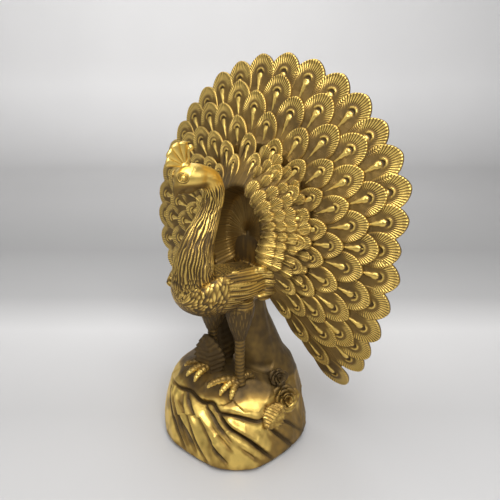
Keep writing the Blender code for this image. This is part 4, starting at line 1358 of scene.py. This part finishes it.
# Middles of the largest facets in front: angle and share of the rock's height
FRONT_FACETS = ((-67, 0.86), (-34, 0.80), (-50, 0.40), (-85, 0.42), (-20, 0.30))
# The solid's back, which the rock doesn't pass
ROCK_BACK = 0.0603


def rock_point(angle, level):
    """A point on the rock's side at an angle seen from above, 0 is to +X and -90 degrees is to the front."""
    k = bpy.context.scene.peacock_rock
    table = np.array(LEVELS)
    size, over, back = (np.interp(level, table[:, 0], table[:, j]) for j in (1, 2, 3))
    c, s = math.cos(angle), math.sin(angle)
    reach = (abs(c) ** k.squareness + abs(s) ** k.squareness) ** (-1 / k.squareness)
    wide = k.half_width * c * reach
    deep = (k.front if s < 0 else k.rear) * s * reach
    y = deep * size + back + bpy.context.scene.peacock_fan.back
    return Vector((wide * size + over + k.aside, y, level * k.height))


def rock_relief(co):
    """How far each point moves out at the layers' edges, and how dark each groove is: patina, with painted
    shade just under each layer's edge.
    """
    k = bpy.context.scene.peacock_rock
    move = np.zeros(len(co))
    dark = np.zeros(len(co))
    w = k.groove_width
    for path in GROOVES:
        fine = spline(path, 12 * len(path))
        line = np.array([rock_point(math.radians(a), min(max(level, 0.0), 1.0)) for a, level, share in fine])
        step = np.gradient(line, axis=0)
        step /= np.linalg.norm(step, axis=1)[:, None]
        centre = np.array([k.aside, bpy.context.scene.peacock_fan.back, 0.35 * k.height])
        away = line - centre
        upward = np.cross(away, step)
        upward /= np.linalg.norm(upward, axis=1)[:, None]
        upward *= np.sign(upward[:, 2] + 1e-9)[:, None]
        gap = np.full(len(co), 1e9)
        rise = np.zeros(len(co))
        share_at = np.zeros(len(co))
        for p, s, (a, level, share) in zip(line, upward, fine):
            off = co - p
            d = np.einsum("ij,ij->i", off, off)
            closer = d < gap
            gap[closer] = d[closer]
            rise[closer] = (off @ s)[closer]
            share_at[closer] = max(share, 0)
        beside = np.exp(-np.clip(gap - rise ** 2, 0, None) / (2.0 * w) ** 2)
        cut = np.exp(-(rise / (0.55 * w)) ** 2)
        over = np.exp(-((rise - 1.9 * w) / (1.5 * w)) ** 2)
        below = np.exp(-((rise + 1.7 * w) / (1.5 * w)) ** 2)
        move += share_at * beside * (-k.groove * cut + 0.32 * k.groove * over - 0.30 * k.groove * below)
        # Painted shade in each groove, a little below the edge of the layer above it
        shade = np.exp(-((rise + 0.25 * w) / (0.85 * w)) ** 2)
        dark = np.maximum(dark, share_at * beside * shade)
    return move, np.clip(dark, 0, 1)


def faceted(co):
    """Distances that bring each point to the flat of the facet it belongs to."""
    places = list(FRONT_FACETS)
    for i in range(30):
        places.append((-160 + 137.5 * i, 0.12 + 0.80 * ((i * 0.618) % 1.0)))
    best = np.full(len(co), 1e9)
    flat = np.zeros(len(co))
    for a, level in places:
        t = math.radians(a)
        spot = rock_point(t, level)
        along = rock_point(t + 0.06, level) - rock_point(t - 0.06, level)
        over = rock_point(t, min(1.0, level + 0.04)) - rock_point(t, max(0.0, level - 0.04))
        out = along.cross(over).normalized()
        off = co - np.array(spot)
        d = np.einsum("ij,ij->i", off, off)
        closer = d < best
        best[closer] = d[closer]
        flat[closer] = (-(off @ np.array(out)))[closer]
    return np.clip(flat - 0.0009, -0.0016, 0.0022)


def rock():
    """The layered rock and the pillar behind the legs, one skin."""
    k = bpy.context.scene.peacock_rock
    f = bpy.context.scene.peacock_fan
    levels = [0.0, 0.02] + list(np.linspace(0.06, 1.0, 22))
    rings = [[rock_point(2 * math.pi * i / 64, level) for i in range(64)] for level in levels]
    rows = spline(PILLAR, 30)
    sizes = [(row[3] * f.radius, row[4] * f.radius) for row in rows]
    column = tube([place(*row[:3]) for row in rows], sizes, 32)
    thing = skinned("rock", [loft(rings), column], k.grain, 2)
    mesh = thing.data
    co = coordinates(mesh)
    out = normals(mesh)
    x, y, z = local(co)
    side = smooth(0.0010, 0.0050, co[:, 2]) * smooth(1.16 * k.height, 0.98 * k.height, co[:, 2])
    lumps = noises(co, (70, 70, 60), 2.0)
    fine = noises(co, (260, 260, 200), 4.0)
    move, cut = rock_relief(co)
    flat = faceted(co)
    folds = noises(np.stack([np.arctan2(x, -(y - 0.1)) * 2.6, z * 1.2, 0 * x], -1), (1, 1, 1), 6.0)
    up = smooth(0.98 * k.height, 1.25 * k.height, co[:, 2])
    move = side * (move + 0.85 * flat + 0.0005 * lumps + 0.00012 * fine) + up * 0.0014 * folds
    co = co + out * move[:, None]
    co[:, 2] = np.maximum(co[:, 2], 0)
    co[:, 1] = np.minimum(co[:, 1], ROCK_BACK)
    set_coordinates(mesh, co)
    top = smooth(0.76, 0.88, co[:, 2] / k.height + 0.05 * lumps)
    around = smooth(0.020, 0.055, co[:, 0] + 0.5 * co[:, 1])
    blotch = noises(co, (120, 120, 90), 9.0)
    dark = 0.26 + cut + 0.16 * lumps + 0.14 * fine + 0.18 * blotch + 0.36 * around
    dark = np.maximum(dark, 0.86 * top + 0.10 * fine)
    # The pillar: dark brown, partly patina and partly painted shade, and lighter low down on its lit side as
    # painted light
    lit = smooth(0.20, 0.34, x + 0.5 * y) * smooth(-0.60, -0.90, z)
    dark = np.maximum(dark, up * (0.70 + 0.18 * folds + 0.10 * fine - 0.30 * lit))
    # Painted shade along the rock's foot, where it meets the floor
    dark += 0.34 * smooth(0.009, 0.0, co[:, 2])
    set_attribute(mesh, "hollow", np.clip(dark, 0, 1))
    return finish_piece(thing, material_named("brass_rock"))


# Each rose: its middle in fan radii and its size
ROSE_PLACES = (((0.318, 0.040, -1.045), 1.08), ((0.262, 0.040, -0.915), 0.70))
# The way the roses face
ROSE_FACING = (0.80, -0.48, 0.36)
# Rings of petals on a rose: share of its radius, count, height at the root and at the edge, and turn
PETAL_RINGS = (
    (1.0, 5, -0.25, 0.22, 0.0), (0.76, 5, -0.05, 0.42, 0.6), (0.52, 4, 0.10, 0.58, 0.2),
    (0.30, 3, 0.30, 0.68, 0.9),
)
LEAF_VEINS = 9
# Each leaf: its root and tip in fan radii, the way it faces, half width and thickness in metres
LEAF_PLACES = (
    ((0.340, -0.025, -1.045), (0.318, -0.165, -1.150), (0.80, -0.48, 0.36), 0.0098, 0.0050),
    ((-0.092, -0.185, -0.955), (-0.100, -0.232, -0.620), (0.45, -0.85, 0.15), 0.0125, 0.0030),
    ((-0.120, -0.030, -0.950), (-0.172, -0.034, -0.570), (0.55, -0.80, 0.15), 0.0108, 0.0024),
)


def petal(centre, axes, reach, wide, thick, low, high, turn):
    """A cupped petal round the rose's axis."""
    out, side, up = axes
    rings = []
    for t in np.linspace(0, 1, 9):
        r = reach * (0.25 + 0.75 * t)
        h = low + (high - low) * t ** 0.6 - 0.16 * reach * max(0.0, t - 0.75) / 0.25
        spread = wide * math.sin(math.pi * min(1.0, 0.18 + 0.62 * t))
        if t >= 0.85:
            spread *= 1 - 0.5 * ((t - 0.85) / 0.15) ** 2
        top, bottom = [], []
        for s in np.linspace(-1, 1, 9):
            a = turn + s * spread
            ray = side * math.cos(a) + up * math.sin(a)
            p = centre + ray * r + out * (h - 0.05 * reach * s * s)
            top.append(p + out * thick)
            bottom.append(p - out * thick)
        rings.append(top + bottom[::-1])
    return loft(rings)


def rose_shapes(centre, r, axes):
    """A rose: a core and rings of petals, every other petal shorter and narrower."""
    out, side, up = axes
    shapes = [ball(centre - out * (0.35 * r), (out * (0.55 * r), side * (0.80 * r), up * (0.80 * r)))]
    for share, count, low, high, offset in PETAL_RINGS:
        for n in range(count):
            odd = n % 2
            turn = 2 * math.pi * (n + offset) / count + 0.13 * math.sin(5.0 * n + 9.0 * share)
            reach = share * r * (1.04 - 0.12 * odd)
            wide = (3.3 - 0.5 * odd) / count
            rise = (high + 0.12 * odd - 0.04) * r
            shapes.append(petal(centre, axes, reach, wide, 0.05 * r, low * r, rise, turn))
    return shapes


def leaf_shape(base, tip, away, width, thick):
    """A leaf with a saw edge, a rib along its middle and slanting veins."""
    way = tip - base
    across = way.cross(away).normalized()
    rings = []
    for i in range(37):
        t = i / 36
        saw = 1 - 0.20 * ((t * LEAF_VEINS) % 1.0)
        w = width * math.sin(math.pi * (0.06 + 0.90 * t)) ** 0.8 * saw
        ring = []
        for s in np.linspace(-1, 1, 13):
            vein = 0.0004 * math.cos(2 * math.pi * (t * LEAF_VEINS - 0.9 * abs(s)))
            rise = thick * (0.75 - 0.5 * abs(s)) + vein + 0.0007 * math.exp(-(s / 0.10) ** 2)
            ring.append(base + way * t + across * (w * s) + away * rise)
        for s in np.linspace(1, -1, 5):
            ring.append(base + way * t + across * (0.96 * w * s) - away * thick)
        rings.append(ring)
    return loft(rings)


def flowers():
    """Two roses, the veined leaf by them and the two leaves by the feet."""
    k = bpy.context.scene.peacock_rock
    out = Vector(ROSE_FACING).normalized()
    side = Vector((0, 0, 1)).cross(out).normalized()
    axes = (out, side, out.cross(side).normalized())
    shapes = []
    for spot, size in ROSE_PLACES:
        shapes += rose_shapes(place(*spot), k.rose * size, axes)
    for base, tip, away, width, thick in LEAF_PLACES:
        shapes.append(leaf_shape(place(*base), place(*tip), Vector(away).normalized(), width, thick))
    verts, faces = gathered(shapes)
    mesh = face_out(mesh_of("roses_and_leaves", verts, faces))
    co = coordinates(mesh)
    # Rubbed on the low rose and the leaf, brown above them
    high = smooth(0.046, 0.056, co[:, 2])
    raised = np.clip(normals(mesh) @ np.array(ROSE_FACING), 0, 1)
    hollow = 0.67 + 0.28 * high + 0.20 * noises(co, (400, 400, 400)) - 0.24 * raised * (1 - high)
    set_attribute(mesh, "hollow", np.clip(hollow, 0, 1))
    return finish_piece(new_object("roses_and_leaves", mesh), material_named("brass_rock"))


# The stage

# The photograph's view: the eye in metres, degrees round and down, and the lens in mm
CAMERA_EYE = (0.2299, -0.2630, 0.3024)
CAMERA_TURN = (39.59, 22.01)
CAMERA_LENS = 36 * 519 / 500
# Metres back plus metres up on the floor and backdrop, and how pale they are painted there: painted light and
# shade, brightest high on the backdrop
PAINTED_FLOOR_LIGHT = (
    (-0.20, 0.86), (0.02, 0.74), (0.16, 0.95), (0.24, 0.63), (0.40, 0.51), (0.67, 0.68), (0.95, 0.80),
    (1.15, 1.10), (1.38, 1.50),
)
# Lamps: name, degrees round and up, distance and size in metres, and power
LAMPS = (
    ("key", 52, 48, 0.90, 0.55, 6.0), ("fill", -30, 30, 1.00, 0.80, 1.7), ("top", 60, 82, 0.95, 0.70, 4.1),
    ("right", 105, 25, 0.95, 0.60, 1.5), ("back", 215, 35, 0.90, 0.80, 1.2),
)
LAMPS_AIM = (0, 0, 0.15)


def floor_material(away):
    """A pale paper with painted light and shade by how far back and up a point lies."""
    b = bpy.context.scene.peacock_brass
    paper = bpy.data.materials.new("pale_floor")
    paper.use_nodes = True
    tree = paper.node_tree
    shader = tree.nodes["Principled BSDF"]
    spot = shader_node(tree, "ShaderNodeTexCoord").outputs["Object"]
    cloud = noise_texture(tree, spot, 5.0, 2.0)
    plain = colour_ramp(tree, cloud, ((0.3, [0.97 * c for c in b.floor]), (0.7, b.floor)))
    reach = shader_node(tree, "ShaderNodeVectorMath", operation="DOT_PRODUCT")
    wired(tree, reach, {0: spot, 1: (away.x, away.y, 1.0)})
    # A ramp runs from 0 to 1, so distances are squeezed into it
    tone = maths(tree, "MULTIPLY_ADD", reach.outputs["Value"], 0.5, 0.3)
    # Painted light and shade across the floor and backdrop, above 1 where the lamps fall off
    wall = colour_ramp(tree, tone, [(0.5 * d + 0.3, (shade, shade, shade)) for d, shade in PAINTED_FLOOR_LIGHT])
    mix = shader_node(tree, "ShaderNodeMix", data_type="RGBA", blend_type="MULTIPLY")
    wired(tree, mix, {"Factor": 1.0})
    tree.links.new(plain, mix.inputs[6])
    tree.links.new(wall, mix.inputs[7])
    tree.links.new(mix.outputs[2], shader.inputs["Base Color"])
    shader.inputs["Roughness"].default_value = 0.75
    return paper


def floor(away, aside):
    """A floor that curves up into a backdrop."""
    outline = [(-1.10, 0.0), (0.95, 0.0)]
    bend = np.linspace(0.1, math.pi / 2, 14)
    outline += [(0.95 + 0.25 * math.sin(a), 0.25 * (1 - math.cos(a))) for a in bend]
    outline += [(1.20, 1.8)]
    rings = [[away * d + aside * x + Vector((0, 0, z - 0.0002)) for x in (-1.8, 1.8)] for d, z in outline]
    verts = [p for ring in rings for p in ring]
    faces = [(2 * i, 2 * i + 1, 2 * i + 3, 2 * i + 2) for i in range(len(rings) - 1)]
    sweep = new_object("floor", mesh_of("floor", verts, faces))
    sweep.data.polygons.foreach_set("use_smooth", [True] * len(faces))
    sweep.data.materials.append(floor_material(away))


def camera(az, el):
    lens = bpy.data.cameras.new("camera")
    lens.lens = CAMERA_LENS
    lens.sensor_width = 36
    lens.clip_start = 0.01
    holder = new_object("camera", lens)
    holder.location = CAMERA_EYE
    out = Vector((math.sin(az) * math.cos(el), -math.cos(az) * math.cos(el), math.sin(el)))
    holder.rotation_euler = (-out).to_track_quat("-Z", "Y").to_euler()
    bpy.context.scene.camera = holder


def area_lamp(name, spot, ray, size, power):
    """A round soft lamp that shines along ray."""
    light = bpy.data.lights.new(name, "AREA")
    light.shape = "DISK"
    light.size = size
    light.energy = power
    lamp = new_object(name, light)
    lamp.location = spot
    lamp.rotation_euler = ray.to_track_quat("-Z", "Y").to_euler()


def lighting(away, aside):
    """Soft lamps round the figure, one that washes the backdrop, and a dim even sky."""
    for name, turn, rise, distance, size, power in LAMPS:
        t, r = math.radians(turn), math.radians(rise)
        ray = Vector((math.sin(t) * math.cos(r), -math.cos(t) * math.cos(r), math.sin(r)))
        area_lamp(name, Vector(LAMPS_AIM) + ray * distance, -ray, size, power)
    spot = away * 0.50 - aside * 0.28 + Vector((0, 0, 1.25))
    aim = away * 1.20 - aside * 0.36 + Vector((0, 0, 0.50))
    area_lamp("wall", spot, aim - spot, 1.1, 5.4)
    world = bpy.data.worlds.new("studio")
    world.use_nodes = True
    background = world.node_tree.nodes["Background"]
    background.inputs["Color"].default_value = (0.62, 0.64, 0.66, 1)
    background.inputs["Strength"].default_value = 0.30
    bpy.context.scene.world = world


def stage():
    """The floor, camera, lamps and plain colour view."""
    az, el = (math.radians(v) for v in CAMERA_TURN)
    away = Vector((-math.sin(az), math.cos(az), 0))
    aside = Vector((math.cos(az), math.sin(az), 0))
    floor(away, aside)
    camera(az, el)
    lighting(away, aside)
    bpy.context.scene.view_settings.view_transform = "Standard"
    bpy.context.scene.view_settings.look = "None"


# Operators and panel


class BuildFan(bpy.types.Operator):
    """Make the plate and every feather of the fan"""

    bl_idname = "peacock.fan"
    bl_label = "Fan of eye feathers"

    def execute(self, context):
        material_named("brass_feathers", barbed=True)
        material_named("brass_dark", dull=0.10)
        fan_plate()
        for kind in FEATHER_PIECES:
            feathers(kind, bpy.data.materials["brass_feathers"])
        return {"FINISHED"}


class BuildBird(bpy.types.Operator):
    """Make the bird's body, neck and head, its crest, eyes and wings"""

    bl_idname = "peacock.bird"
    bl_label = "Bird"

    def execute(self, context):
        material_named("brass_bird")
        neck_and_head()
        body()
        face_parts()
        legs()
        return {"FINISHED"}


class BuildRock(bpy.types.Operator):
    """Make the rock with its pillar, roses and leaves"""

    bl_idname = "peacock.rock"
    bl_label = "Rock and roses"

    def execute(self, context):
        rock()
        flowers()
        return {"FINISHED"}


class BuildStage(bpy.types.Operator):
    """Make the floor, the lights and the camera"""

    bl_idname = "peacock.stage"
    bl_label = "Stage"

    def execute(self, context):
        stage()
        return {"FINISHED"}


class PeacockPanel(bpy.types.Panel):
    bl_idname = "VIEW3D_PT_peacock"
    bl_label = "Brass peacock"
    bl_space_type = "VIEW_3D"
    bl_region_type = "UI"
    bl_category = "Peacock"

    def draw(self, context):
        for name, group in GROUPS:
            box = self.layout.box()
            for key in group.__annotations__:
                box.prop(getattr(context.scene, name), key)
        for operator in OPERATORS:
            self.layout.operator(operator.bl_idname)


OPERATORS = (BuildFan, BuildBird, BuildRock, BuildStage)


def register():
    for name, group in GROUPS:
        bpy.utils.register_class(group)
        setattr(bpy.types.Scene, name, bpy.props.PointerProperty(type=group))
    for each in OPERATORS + (PeacockPanel,):
        bpy.utils.register_class(each)


def unregister():
    for each in reversed(OPERATORS + (PeacockPanel,)):
        bpy.utils.unregister_class(each)
    for name, group in reversed(GROUPS):
        delattr(bpy.types.Scene, name)
        bpy.utils.unregister_class(group)


def main():
    register()
    bpy.ops.peacock.fan()
    bpy.ops.peacock.bird()
    bpy.ops.peacock.rock()
    bpy.ops.peacock.stage()


if __name__ == "__main__":
    main()
